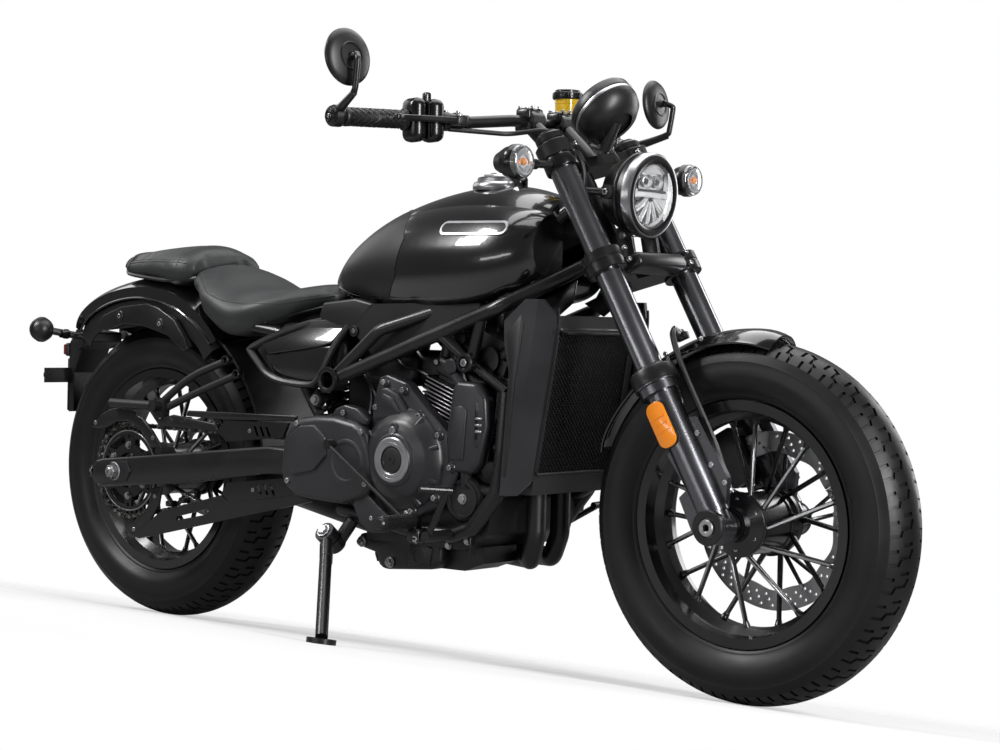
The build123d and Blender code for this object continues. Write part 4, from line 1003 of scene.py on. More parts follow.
class AddMirrors(bpy.types.Operator):
    """Round bar-end mirrors with stepped backs and jointed arms"""
    bl_idname = "motorcycle.mirrors"
    bl_label = "Mirrors"

    def execute(self, context):
        shells, arms, glass, bright = [], [], [], []
        for side in SIDES:
            x, y = polar(1, math.radians(6))
            out = Vector((x, side * y, 0.12)).normalized()
            centre = Vector((182, side * 465, 1119))
            place = facing(centre, out, UP)
            shells.append(turned([(0, 9.6), (8, 9.4), (9, 7.6), (21, 6.4), (22.5, 8.2), (24.5, 8.4),
                                  (26, 6.4), (40, 4.2), (47, 0.6), (50.5, -3.4), (51, -6.6),
                                  (49.6, -8.6), (47.8, -8.2), (47.6, -6.8)], place, 96))
            glass.append(turned([(0, -6.6), (46, -6.9), (48.2, -7.2), (47.2, -5.2), (0, -5.2)],
                                place, 96))
            foot = Vector((BAR_END[0] + 2, side * (BAR_END[1] + 4), BAR_END[2]))
            elbow = Vector((204, side * 474, 1054))
            knee = Vector((213, side * 476, 1106))
            arms.append(turned([(11, -8), (18, -8), (19.6, -6), (19.6, 6), (18, 8), (11, 8)],
                               facing(foot, Vector((0.33, -side * 0.94, 0))), 40, closed=True))
            arms.append(rod(foot + Vector((6, 0, 10)), elbow, 17, 12, 20))
            arms.append(bent([foot + Vector((20, 0, 18)), elbow, elbow + Vector((3, 0, 12)), knee,
                              knee + Vector((0, 0, 10)), centre + out * 16], 11.5, 16))
            arms.append(rod(centre + out * 2, centre + out * 17, 17, 13, 24))
            arms.append(turned([(0, -7), (6, -6), (7.2, -3), (7.2, 3), (6, 6), (0, 7)],
                               facing(centre + out * 17 - UP, ACROSS), 24))
            bright.append(bolt(centre + out * 17 + ACROSS * side * 7, ACROSS * side, 6, 2))
            bright.append(bolt(foot + ACROSS * side * 8, ACROSS * side, 10, 3))
        piece("mirror_heads", "steering",
              {"textured_abs": shells, "satin_powder_coat": arms, "plated_steel": bright,
               "silvered_glass": glass}, ["mirrors"])
        return {"FINISHED"}


# --------------------------------------------------------------------------- the engine
# Outlines in X and Z, seen from the right.
ALTERNATOR_FLANGE = [(-30, 390), (-29, 450), (-26, 478), (-25, 500), (-10, 550), (10, 556),
                     (60, 542), (72, 530), (112, 494), (156, 460), (170, 448), (194, 394),
                     (191, 376), (158, 324), (146, 312), (96, 290), (60, 284), (10, 290), (-20, 330)]
ALTERNATOR_BOLTS = [(8, 541), (57, 528), (-11, 492), (99, 481), (148, 447), (179, 388),
                    (142, 329), (85, 300), (-12, 338)]
COVER_WELL = [(-190, 448), (-150, 452), (-120, 430), (-118, 392), (-150, 362), (-206, 350),
              (-226, 372), (-226, 420)]
HEEL_PLATE = [(-62, 352), (-48, 350), (10, 306), (36, 290), (42, 268), (28, 254), (-12, 252),
              (-34, 268), (-52, 300)]
COOLANT_BOX = [(168, 392), (162, 440), (176, 536), (186, 550), (232, 548), (256, 520), (260, 470),
               (242, 396), (224, 378), (186, 380)]


class AddEngineCovers(bpy.types.Operator):
    """Engine covers on both sides with their panels, rings and bolts"""
    bl_idname = "motorcycle.engine_covers"
    bl_label = "Engine covers"

    def execute(self, context):
        right = -ACROSS
        case, silver, bolts, dark = [], [], [], []
        middle = Vector((60, 0, 396))
        crank = facing(middle, right)
        case.append(side_plate(ALTERNATOR_FLANGE, -160, -131, 5, 3))
        for x, z in ALTERNATOR_BOLTS:
            case.append(turned([(0, 0), (10.5, 0), (10.5, 8), (9, 10), (0, 10)],
                               facing((x, -154, z), right), 24))
            bolts.append(bolt((x, -164, z), right, 11, 6))
        case.append(turned([(98, 131), (98, 160), (94, 167), (84, 176), (76, 182), (73, 184.5),
                            (68, 185.5), (60, 189), (52, 190.5), (50, 193), (47, 194), (0, 194)],
                           crank, 96))
        case.append(side_plate([(-8, 470), (-4, 512), (6, 530), (20, 532), (46, 520), (60, 504),
                                (82, 474), (60, 466), (20, 466)], -171, -158, 5, 3))
        case.append(side_plate([(2, 474), (6, 508), (14, 520), (40, 511), (66, 476)],
                               -174, -170, 1.6, 2))
        for turn in (18, 58, -24, -60, 150, 196):
            start = angled(middle, 60, turn, -183)
            case.append(rod(start, angled(middle, 95, turn, -166), 9, 12, 12))
        silver.append(turned([(26.4, 192), (26.4, 197.6), (28, 199), (33, 199), (33.8, 198.2),
                              (34.6, 198.2), (35.4, 199), (41, 199), (43.4, 197), (43.8, 192)],
                             crank, 96))
        dark.append(turned([(0, 193), (0, 196.6), (6, 196.6), (20, 197), (23.5, 196), (24.6, 193.5)],
                           crank, 64))
        dark.append(turned([(4.6, 196.4), (5, 198), (8.6, 198), (9, 196.4)], crank, 6))
        silver += [bolt(at, right, 3.5, 1) for at in ringed(middle, 38.5, 3, 50, -198.2)]
        case.append(turned([(0, 0), (14, 0), (14, 10), (12, 12), (0, 12)],
                           facing((57, -178, 452), right), 32))
        bolts.append(bolt((57, -190, 452), right, 15, 5))
        case.append(side_plate(HEEL_PLATE, -179, -171, 3, 3))
        bolts.append(bolt((-4, -179, 280), right, 9, 2))
        # The ring's middle cap takes the castings darkened as painted shade.
        piece("alternator_cover_cast", "frame",
              {"charcoal_cast_aluminium": case, "machined_aluminium": silver,
               "plated_steel": bolts, "cast_aluminium_in_painted_shade": dark}, ["alternator_cover"])
        cover = side_plate([(-246, 361), (-240, 420), (-224, 446), (-199, 463), (-150, 470),
                            (-104, 471), (-50, 462), (-24, 450), (-8, 420), (2, 381), (-4, 345),
                            (-18, 318), (-74, 301), (-204, 307), (-230, 324), (-242, 340)],
                           -188, -153, 13, 5)
        shape = [cover, side_plate(COVER_WELL, -193, -186, 5, 4),
                 turned([(0, 184), (20, 184.5), (30, 186), (36, 189.5), (40, 189.8), (45, 188),
                         (47, 184)], facing((-66, 0, 384), right), 64),
                 side_plate([(-120, 470), (-108, 486), (-84, 494), (-52, 488), (-24, 468), (-30, 456),
                             (-70, 462)], -176, -150, 4, 3)]
        screws = [bolt((x, -178 if z > 455 else -188, z), right, 11, 4)
                  for x, z in ((-199, 452), (-27, 444), (-222, 338), (-84, 478), (-14, 345))]
        piece("sprocket_cover_cast", "frame",
              {"charcoal_cast_aluminium": shape, "plated_steel": screws}, ["sprocket_cover"])
        box = [side_plate(COOLANT_BOX, -162, -130, 8, 4),
               side_plate([(178, 402), (174, 440), (184, 500), (200, 506), (214, 498), (208, 404)],
                          -165.5, -160, 2.5, 3),
               turned([(0, 0), (15, 0), (15, 14), (12, 17), (0, 17)],
                      facing((164, -140, 576), right), 32),
               rod((170, -146, 560), (190, -146, 538), 22), rod((205, -150, 392), (196, -138, 352), 22)]
        bands = []
        for z in (458, 470, 482):
            box.append(block((24, 58, 7.5), facing((238, -152, z), ALONG, UP), 2.5))
            bands.append(block((16, 4, 3.2), facing((246, -165.5, z + 0.5), right, UP), 1.2))
        piece("coolant_housing_cast", "frame",
              {"charcoal_cast_aluminium": box, "machined_aluminium": bands}, ["coolant_housing"])
        # The left side: clutch cover with its ring of bolts and raised rim.
        left = facing((40, 0, 388), ACROSS)
        rim = turned([(98, 131), (104, 132), (104, 158), (98, 166), (86, 171), (82, 178), (78, 180.6),
                      (70, 180.6), (66, 178), (56, 177.4), (0, 178.4)], left, 96)
        ring = turned([(58, 177), (58.6, 179.5), (61, 180), (62, 177)], left, 96)
        screws = [bolt(point, ACROSS, 11, 6) for point in ringed(Vector((40, 0, 388)), 92, 9, 10, 168)]
        piece("clutch_cover_trim", "frame",
              {"charcoal_cast_aluminium": [rim], "machined_aluminium": [ring],
               "plated_steel": screws})
        return {"FINISHED"}


# Coolant hoses, then spark leads and the wiring loom: diameter, then the points of the route.
HOSES = [(26, (200, -60, 640), (150, -96, 640), (118, -112, 612), (116, -110, 566)),
         (28, (340, -70, 664), (300, -92, 640), (250, -100, 600), (214, -112, 556)),
         (28, (206, -138, 360), (236, -128, 340), (290, -110, 356), (330, -90, 372)),
         (28, (330, 96, 372), (286, 116, 340), (226, 126, 330), (190, 128, 350))]
LOOM = [(9, (-100, -112, 560), (-60, -122, 530), (-40, -126, 500), (-34, -128, 470)),
        (7, (-110, -108, 580), (-76, -116, 560), (-58, -124, 500), (-60, -132, 470), (-40, -140, 462)),
        (8, (40, -112, 610), (64, -120, 584), (90, -124, 590), (110, -120, 570)),
        (7, (-20, -110, 600), (10, -118, 570), (60, -122, 566), (84, -124, 556)),
        (8, (150, -124, 610), (164, -140, 596), (182, -142, 572), (190, -140, 548)),
        (7, (210, -130, 420), (236, -134, 440), (262, -132, 470), (262, -126, 560))]
# The cylinder's own placing: X across its fins, Z up its bore.
BARREL = Matrix.Translation((132, 0, 440)) @ Matrix.Rotation(math.radians(20), 4, "Y")


class AddCylinders(bpy.types.Operator):
    """Fins with machined edges, cam covers, throttle bodies, hoses and wiring"""
    bl_idname = "motorcycle.cylinders"
    bl_label = "Cylinder trim"

    def execute(self, context):
        fins, edges, covers, screws, rubber = [], [], [], [], []
        for side in SIDES:
            for row in range(11):
                wide, shift = (150, -8) if row > 4 else (118, -24)
                lift = 16 + 7.6 * row
                fins.append(block((wide, 13, 3.0), shifted(BARREL, shift, side * 123.5, lift), 0.7, 1))
                edges.append(block((wide - 1, 1.8, 2.7),
                                   shifted(BARREL, shift, side * 130.2, lift), 0.5, 1))
            covers.append(block((128, 30, 34), shifted(BARREL, -6, side * 118, 124), 9, 4))
            covers.append(block((60, 34, 40), shifted(BARREL, -22, side * 112, 168), 12, 4))
            covers.append(rod(BARREL @ Vector((-30, side * 100, 190)),
                              BARREL @ Vector((-34, side * 132, 190)), 34, 30, 32))
            for x, z in ((-66, 128), (-8, 128), (48, 128), (-40, 165)):
                screws.append(bolt(BARREL @ Vector((x, side * 133.5, z)), ACROSS * side, 10, 5))
            # A throttle body and its intake stub under the tank.
            y = side * 48
            covers.append(rod((120, y, 622), (78, y, 668), 58, 52, 32))
            covers.append(rod((78, y, 668), (36, y, 684), 50, 54, 32))
            rubber.append(rod((128, y, 614), (106, y, 638), 62, 62, 32))
            screws.append(bolt((98, side * 80, 650), ACROSS * side, 14, 6))
        for size, at, edge in (((150, 190, 86), (-52, 0, 660), 22), ((90, 150, 60), (120, 0, 668), 16)):
            covers.append(block(size, facing(at, UP, ALONG), edge, 4))
        covers.append(block((26, 60, 40), facing((96, -92, 664), ACROSS, UP), 6, 3))
        rubber += [bent(route, wide, 16) for wide, *route in HOSES]
        rubber += [bent(route, wide, 10) for wide, *route in LOOM]
        for x, z in ((262, 372), (258, 430), (264, 486), (256, 548)):
            screws.append(bolt((x, -128, z), -ACROSS, 9, 4))
            covers.append(block((26, 20, 26), facing((x - 2, -116, z), ACROSS, UP), 5, 2))
        # Fins, cam covers and throttle bodies take the castings darkened as painted shade.
        piece("cylinder_fins", "frame",
              {"cast_aluminium_in_painted_shade": fins, "machined_aluminium": edges})
        piece("cam_covers", "frame",
              {"cast_aluminium_in_painted_shade": covers, "plated_steel": screws, "moulded_rubber": rubber})
        return {"FINISHED"}


class AddCrankcaseTrim(bpy.types.Operator):
    """Crankcase ribs, the sump and its plugs, the oil sight glass and the exhaust's clamps"""
    bl_idname = "motorcycle.crankcase_trim"
    bl_label = "Crankcase trim"

    def execute(self, context):
        right = -ACROSS
        cast, screws, amber, dark = [], [], [], []
        for n in range(7):
            cast.append(block((4, 20, 60 - 5 * abs(n - 3)),
                              facing((206 + 0.1 * n, -126, 330 - 14 * n), UP, ACROSS), 1.2, 1))
        for x, y, z in ((80, -123, 243), (-3, -123, 192), (-78, -123, 226)):
            screws.append(turned([(5, 0), (11, 0), (11, 2), (5, 2)], facing((x, y, z), right), 24))
            screws.append(bolt((x, y - 2, z), right, 15, 8, "hex"))
        cast.append(rod((-78, -92, 226), (-78, -123, 226), 24, 22, 28))
        pump, glass = facing((196, -129, 330), right), facing((71, -118, 211), right)
        cast.append(turned([(0, 0), (46, 0), (46, 12), (40, 18), (0, 18)], pump, 40))
        cast.append(turned([(30, 16), (31, 22), (36, 22), (37, 16)], pump, 40))
        screws.append(bolt((196, -146, 330), right, 16, 7, "hex"))
        dark.append(turned([(11, 0), (20, 1), (20, 8), (17, 9), (13, 9), (12, 5)], glass, 32))
        amber.append(turned([(0, 4), (12, 4), (12.4, 2), (0, 2)], glass, 32))
        sump = [(-92, 240), (-84, 214), (-42, 206), (-38, 184), (-22, 176), (104, 187), (122, 200),
                (124, 254), (96, 262), (-30, 250)]
        cast.append(side_plate(sump, -122, -84, 9, 4))
        cast.append(side_plate([(44, 190), (98, 194), (104, 228), (76, 238), (46, 230)],
                               -126, -118, 3, 3))
        # Ribs, sump and pump take the castings darkened as painted shade.
        piece("crankcase_ribs", "frame",
              {"cast_aluminium_in_painted_shade": cast, "plated_steel": screws, "moulded_rubber": dark})
        piece("oil_sight_glass", "frame", {"honey_fluid": amber})
        # Header flanges, their clamps and the muffler's bands and cap.
        clamps, steel, shine = [], [], []
        for y in (-37, 37):
            clamps.append(turned([(17.2, 0), (30, 0), (30, 6), (24, 8), (17.2, 8)],
                                 facing((247, y, 541), (53, 0, -56)), 32, closed=True))
            for side in SIDES:
                steel.append(bolt((256, y + side * 24, 538), (53, 0, -56), 9, 7, "hex"))
            clamps.append(turned([(17.2, -9), (20.5, -8), (20.5, 8), (17.2, 9)],
                                 facing((285, y, 380), UP), 32, closed=True))
        can = facing((-240, 238, 222), Vector((-390, 4, 70)))
        for height in (6, 120, 384):
            clamps.append(turned([(52.1, -5), (54, -4), (54, 4), (52.1, 5)],
                                 shifted(can, 0, 0, height), 72, closed=True))
        clamps.append(turned([(24.5, 398), (44, 396), (50, 390), (50, 397), (44, 404), (34, 408),
                              (32, 440), (30, 446), (26, 446), (24.5, 440)], can, 64, closed=True))
        for turn in around(3, 30):
            steel.append(bolt(can @ Vector((*polar(43, math.radians(turn)), 403)),
                              can.to_3x3() @ UP, 8, 4))
        shield = bent([can @ Vector((0, 54, 40)), can @ Vector((0, 56, 200)),
                       can @ Vector((0, 54, 360))], 12, 12)
        piece("exhaust_trim", "frame",
              {"exhaust_paint": clamps + [shield], "plated_steel": steel})
        return {"FINISHED"}


class AddRadiatorTrim(bpy.types.Operator):
    """Woven radiator guard, core tubes, rails and cap, and the shrouds' ridges and clips"""
    bl_idname = "motorcycle.radiator_trim"
    bl_label = "Radiator trim"

    def execute(self, context):
        face = Matrix.Translation((336, 0, 385)) @ Matrix.Rotation(math.atan(0.166), 4, "Y")
        half, tall = 112.0, 262.0
        pitch = context.scene.motorcycle.mesh_pitch * 1.3
        wires = []
        for sense in SIDES:
            for n in range(int((2 * half + tall) / pitch) + 1):
                # A slanting wire, cut where it runs past the sides of the core.
                offset = -half + n * pitch
                over, under = max(0.0, offset - half), max(0.0, tall - offset - half)
                if tall - under - over < 4:
                    continue
                depth = 5.5 + sense * 0.7
                start = Vector((depth, sense * (offset - over), over))
                end = Vector((depth, sense * (offset - tall + under), tall - under))
                wires.append(block((1.5, 1.5, (end - start).length),
                                   face @ facing((start + end) / 2, end - start, ALONG)))
        dark = [block((2.2, 2 * half, 9), shifted(face, 1.2, 0, 8 + 15.3 * n)) for n in range(17)]
        dark.append(block((44, 238, 5), shifted(face, 12, 0, tall + 6.5), 2))
        dark.append(rod(face @ Vector((6, -half, 0)), face @ Vector((6, half, 0)), 6, 6, 12))
        dark += [block((8, 5, tall), shifted(face, 5, side * 113, tall / 2), 1.5) for side in SIDES]
        dark.append(turned([(0, 0), (20, 0), (22, 4), (22, 12), (17, 16), (0, 16)],
                           facing((402, 70, 676), UP), 32))
        bright = [block((10, 226, 2.4), shifted(face, 8, 0, tall + 10), 1, 1)]
        piece("radiator_guard", "frame",
              {"satin_black_enamel": wires, "radiator_paint": dark, "machined_aluminium": bright})
        ridges, clips = [], []
        for side in SIDES:
            ridges.append(side_plate(
                [(306, 640), (340, 676), (348, 660), (330, 560), (318, 430), (312, 380), (306, 380),
                 (316, 560), (312, 610)], side * 163.5, side * 166.4, 1.4))
            for x, z in ((388, 648), (346, 404)):
                clips.append(turned([(0, 0), (11, 0), (11, 3), (7, 5), (0, 5)],
                                    facing((x, side * 140, z), ACROSS * side), 24))
                clips.append(bolt((x, side * 145, z), ACROSS * side, 8, 3))
            ridges.append(bent([(404, side * 138, 690), (408, side * 138, 660),
                                (384, side * 137, 520), (360, side * 137, 392)], 5, 10))
        piece("shroud_edges", "frame",
              {"textured_abs": ridges, "moulded_rubber": clips})
        return {"FINISHED"}


class AddFrameTrim(bpy.types.Operator):
    """Frame bosses, rings, cross bolts and gussets"""
    bl_idname = "motorcycle.frame_trim"
    bl_label = "Frame trim"

    def execute(self, context):
        steel, bolts, silver = [], [], []
        for side in SIDES:
            out = ACROSS * side
            boss = Vector((197, side * 152, 584))
            steel.append(turned([(9, -3), (18.5, -2), (19, 1), (17, 3.5), (12.5, 3.5), (11, 0), (0, 0)],
                                facing(boss, out), 40))
            silver.append(turned([(0, 0), (7.4, 0), (7.4, 4), (6.6, 5), (3.4, 5), (3, 2), (0, 2)],
                                 facing(boss, out), 28))
            for x, z in ((-109, 636), (-164, 599)):
                steel.append(turned([(4.6, 0), (11, 0), (11, 2.4), (9, 3), (4.6, 3)],
                                    facing((x, side * 127, z), out), 28, closed=True))
                bolts.append(bolt((x, side * 127.5, z), out, 9.5, 3))
            ring = Vector((-141, side * 168, 539))
            steel.append(turned([(16.2, -3), (16.4, 0.6), (18.5, 1.4), (24.6, 1.2), (25.4, -3)],
                                facing(ring, out), 56))
            bolts.append(bolt((-205, side * 132, 497), out, 17, 8, "hex"))
            steel.append(turned([(0, -14), (15, -14), (15, 0), (0, 0)],
                                facing((-205, side * 132, 497), out), 28))
            bolts.append(bolt((-200, side * 159, 375), out, 19, 7, "hex"))
            for x, z in ((196, 250), (150, 238)):
                bolts.append(bolt((x, side * 129, z), out, 12, 6, "hex"))
            # A gusset where the head meets the upper tubes.
            steel.append(side_plate([(306, 700), (352, 720), (392, 742), (384, 700), (352, 676)],
                                    side * 66, side * 72, 1.5))
        piece("frame_bosses", "frame",
              {"satin_powder_coat": steel, "plated_steel": bolts, "machined_aluminium": silver})
        return {"FINISHED"}


class AddFootControls(bpy.types.Operator):
    """Ribbed rubber pegs with their brackets and bolts"""
    bl_idname = "motorcycle.foot_controls"
    bl_label = "Foot controls"

    def execute(self, context):
        rubber, metal, bolts = [], [], []
        for side in SIDES:
            out = ACROSS * side
            root, tip = Vector((130, side * 214, 287)), Vector((130, side * 299, 287))
            rubber.append(turned([(12.1, 0), (13.6, 1), (13.6, 84), (12.1, 85)],
                                 facing(root, out), 32, closed=True))
            # Thirteen rings, each with a bar laid across the peg.
            for n in range(13):
                at = root + out * (7 + 6.1 * n)
                ring = turned([(13.5, -1.4), (15, -1), (15, 1), (13.5, 1.4)], facing(at, out), 24)
                rubber += [ring, block((2.6, 3.2, 24), spun(facing(at, ALONG, UP), 22, "Y"), 0.8, 1)]
            metal.append(rod(tip - out, tip + out * 6, 24, 18, 28))
            metal.append(block((34, 30, 26), facing((124, side * 206, 284), out, UP), 7, 3))
            metal.append(block((30, 26, 40), facing((144, side * 208, 262), out, UP), 6, 3))
            bolts.append(bolt((150, side * 222, 257), out, 14, 6, "hex"))
            bolts.append(bolt((112, side * 209, 300), UP, 9, 5))
        piece("peg_rubbers", "frame",
              {"moulded_rubber": rubber, "satin_powder_coat": metal, "plated_steel": bolts})
        return {"FINISHED"}


# --------------------------------------------------------------------------- the rear end
SWINGARM = [(-816, 300), (-816, 330), (-806, 342), (-782, 347), (-536, 374), (-286, 402), (-186, 400),
            (-160, 375), (-186, 350), (-286, 346), (-534, 310), (-786, 285), (-806, 292)]
GUARDS = [[(-850, 410), (-822, 437), (-795, 450), (-763, 456), (-724, 452), (-685, 436),
           (-655, 411), (-622, 376), (-662, 376), (-676, 397), (-703, 419), (-736, 429),
           (-768, 426), (-800, 412), (-828, 408)],
          [(-622, 298), (-630, 258), (-655, 223), (-698, 193), (-720, 186), (-735, 198),
           (-703, 220), (-672, 242), (-656, 269), (-656, 291)],
          [(-434, 445), (-252, 449), (-268, 419), (-429, 402), (-456, 422)],
          [(-646, 436), (-633, 423), (-456, 422), (-462, 437), (-592, 449)],
          [(-547, 460), (-228, 465), (-236, 453), (-434, 446), (-552, 448)],
          [(-424, 318), (-246, 340), (-226, 308), (-417, 277), (-440, 296)],
          [(-621, 245), (-440, 292), (-417, 277), (-226, 307), (-184, 297), (-688, 182),
           (-714, 186)]]


def slanted(x, z):
    """A small slanted slot."""
    return [(x - 8.5, z + 10), (x + 1.5, z - 10), (x + 8.5, z - 10), (x - 1.5, z + 10)]


# The holes in some of the guards, by the guard's number: round ones, slanted slots and a long one.
GUARD_HOLES = {2: [circle(-361, 427, 4, 10)] + [slanted(-343 + 17 * n, 428) for n in range(3)],
               5: [circle(-348, 309, 4, 10)] + [slanted(-331 + 19 * n, 312) for n in range(3)],
               6: [[(-576, 229), (-572, 238), (-482, 260), (-476, 255), (-486, 248)]]}


class AddSwingarm(bpy.types.Operator):
    """Tapered swingarm with rounded edges, axle plates, nuts and adjusters"""
    bl_idname = "motorcycle.swingarm"
    bl_label = "Swingarm"

    def execute(self, context):
        steel, bright, dark = [], [], []
        for side in SIDES:
            out = ACROSS * side
            steel.append(side_plate(SWINGARM, side * 158, side * 184, 7, 4))
            axle = facing(REAR_AXLE + out * 184, out)
            steel.append(side_plate([(-811, 300), (-811, 328), (-800, 338), (-704, 347), (-690, 326),
                                     (-704, 303), (-800, 292)], side * 183, side * 186.5, 1.6, 2))
            bright.append(turned([(6, 1), (19, 1), (19.5, 3), (18, 5), (6, 5)], axle, 40))
            bright.append(turned([(5, 5), (13.5, 5), (14.5, 7), (14.5, 14), (13, 16), (5, 16)],
                                 axle, 6))
            bright.append(turned([(0, 14), (8.6, 14), (8.6, 19), (7.4, 20), (3.4, 20), (3, 17), (0, 17)],
                                 axle, 28))
            dark.append(block((10, 26, 34), facing((-818, side * 171, 316), ALONG, UP), 3, 2))
            bright.append(rod((-836, side * 171, 318), (-812, side * 171, 318), 9, 9, 16))
            bright.append(bolt((-824, side * 171, 318), -ALONG, 15, 7, "hex"))
        for x, wide in ((-200, 46), (-330, 44)):
            steel.append(rod((x, -158, 375), (x, 158, 375), wide, wide, 40))
        for n in range(2):
            dark.append(bent([(-760, 160 + 4 * n, 350), (-640, 166, 372), (-480, 166, 392),
                              (-330, 160, 408), (-230, 130, 420)], 6, 10))
        piece("swingarm_arms", "frame",
              {"satin_powder_coat": steel, "plated_steel": bright, "textured_abs": dark},
              ["swingarm"])
        return {"FINISHED"}


class AddGuards(bpy.types.Operator):
    """Pierced chain guards with their bolts"""
    bl_idname = "motorcycle.guards"
    bl_label = "Chain guards"

    def execute(self, context):
        plates, bolts = [], []
        for index, outline in enumerate(GUARDS):
            if index in GUARD_HOLES:
                plates.append(pierced([outline] + GUARD_HOLES[index], shifted(SIDE_ON, 0, 0, 152), 7))
            else:
                plates.append(side_plate(outline, -159.5, -152.5, 2.4, 3))
        for x, z in ((-652, 397), (-642, 275), (-361, 427), (-348, 309), (-836, 420), (-706, 200)):
            bolts.append(bolt((x, -157.5, z), -ACROSS, 9, 4))
        for x, z in ((-600, 437), (-560, 440), (-600, 262), (-560, 272)):
            plates.append(block((16, 12, 22), facing((x, -150, z), ACROSS, UP), 3, 2))
        piece("chain_guard_plates", "frame",
              {"satin_powder_coat": plates, "plated_steel": bolts}, ["chain_guards"])
        return {"FINISHED"}


def chain_loop(back, front, big, small):
    """The tight loop round two circles: a point and its direction by distance, and its length."""
    reach = front - back
    reach.y = 0
    slope = math.atan2(reach.z, reach.x)
    swing = math.acos((big - small) / reach.length)
    straight = math.sqrt(reach.length ** 2 - (big - small) ** 2)
    small_arc, big_arc = small * 2 * swing, big * (math.tau - 2 * swing)
    length = 2 * straight + big_arc + small_arc

    def loop(run):
        run %= length
        onward = 0.0
        if run < straight:
            turn, centre, radius, onward = slope + swing, back, big, run
        elif run < straight + small_arc:
            turn, centre, radius = slope + swing - (run - straight) / small, front, small
        elif run < 2 * straight + small_arc:
            turn, centre, radius = slope - swing, front, small
            onward = run - straight - small_arc
        else:
            turn = slope - swing - (run - 2 * straight - small_arc) / big
            centre, radius = back, big
        x, z = polar(1, turn)
        way = Vector((z, 0, -x))
        return centre + radius * Vector((x, 0, z)) + way * onward, way

    return loop, length


class AddChain(bpy.types.Operator):
    """Rear sprocket with its carrier, and the roller chain"""
    bl_idname = "motorcycle.chain"
    bl_label = "Sprocket and chain"

    def execute(self, context):
        place = facing(REAR_AXLE - ACROSS * 146, ACROSS, ALONG)
        holes, carrier, nuts = [], [], []
        carrier.append(turned([(27, 6), (46, 6), (48, 9), (48, 20), (40, 28), (27, 28)], place, 60))
        for degrees in around(6):
            # A window between two arms, with its outer edge first and its inner one going back.
            turn, window = math.radians(degrees + 30), []
            for radius, span in ((77, 23), (58, -17)):
                window += [polar(radius, turn + math.radians(span) * (2 * k / 6 - 1)) for k in range(7)]
            turn = math.radians(degrees)
            holes += [window, circle(*polar(73, turn), 4, 10)]
            spot = place @ Vector((*polar(54, turn), 0))
            carrier.append(rod(place @ Vector((*polar(30, turn), 14)), spot + ACROSS * 14, 24, 20, 20))
            carrier.append(rod(spot + ACROSS * 7, spot + ACROSS * 22, 22, 24, 20))
            nuts.append(bolt(spot, -ACROSS, 13, 6, "hex"))
        ring = pierced([waved(89.5, 3.2, 39, 39 * 8), circle(0, 0, 38, 48)] + holes, place, 7)
        rim = turned([(84, -0.2), (84.6, -0.8), (86, -0.8), (86.6, -0.2)], place, 96)
        piece("sprocket_ring", "rear_wheel",
              {"satin_powder_coat": [ring], "plated_steel": nuts + [rim],
               "black_wheel_enamel": carrier}, ["rear_sprocket"])
        loop, length = chain_loop(REAR_AXLE, Vector((-96, 0, 386)), 98.3, 31.2)
        count = 2 * round(length / context.scene.motorcycle.link_pitch / 2)
        plates, rollers = [], []
        for n in range(count):
            spot, way = loop(length * n / count)
            after, _ = loop(length * (n + 1) / count)
            link = facing((spot + after) / 2 - ACROSS * 142, ACROSS, way.cross(ACROSS))
            # Inner and outer links take turns; each has a narrow waist between its rollers.
            wide = 3.2 if n % 2 else 5.0
            half = (after - spot).length / 2
            shape = [(half + 5.5, 0), (half + 2.5, 4.8), (0, 3.6), (-half - 2.5, 4.8),
                     (-half - 5.5, 0), (-half - 2.5, -4.8), (0, -3.6), (half + 2.5, -4.8)]
            for low in (-wide - 1.7, wide):
                plates.append(slab(shape, low, low + 1.7, link))
            bm = bmesh.new()
            bmesh.ops.create_cone(bm, cap_ends=True, segments=8, radius1=4.6, radius2=4.6, depth=13.4)
            bm.transform(facing(spot - ACROSS * 142, ACROSS))
            rollers.append(bm)
        piece("roller_chain", "frame",
              {"oiled_chain_steel": plates, "plated_steel": rollers}, ["drive_chain"])
        return {"FINISHED"}


# --------------------------------------------------------------------------- skins to lay on
def skin_of(thing):
    """A tree of a finished piece's surface, in upright millimetres."""
    bm = bmesh.new()
    bm.from_mesh(thing.data)
    bm.transform(STOOD.inverted())
    bmesh.ops.triangulate(bm, faces=bm.faces)
    tree = BVHTree.FromBMesh(bm)
    bm.free()
    return tree


def touch(tree, x, z, side):
    """Where a line across the machine at X and Z first meets a skin, from one side."""
    hit, normal, _, _ = tree.ray_cast(Vector((x, side * 600, z)), Vector((0, -side, 0)))
    return (hit, normal) if hit else (Vector((x, 0, z)), ACROSS * side)


def laid(bm, tree, side):
    """Lays a flat shape, whose Y is its height off the skin, against that skin."""
    for vert in bm.verts:
        hit, normal = touch(tree, vert.co.x, vert.co.z, side)
        vert.co = hit + normal * vert.co.y
    bmesh.ops.recalc_face_normals(bm, faces=bm.faces)
    return bm


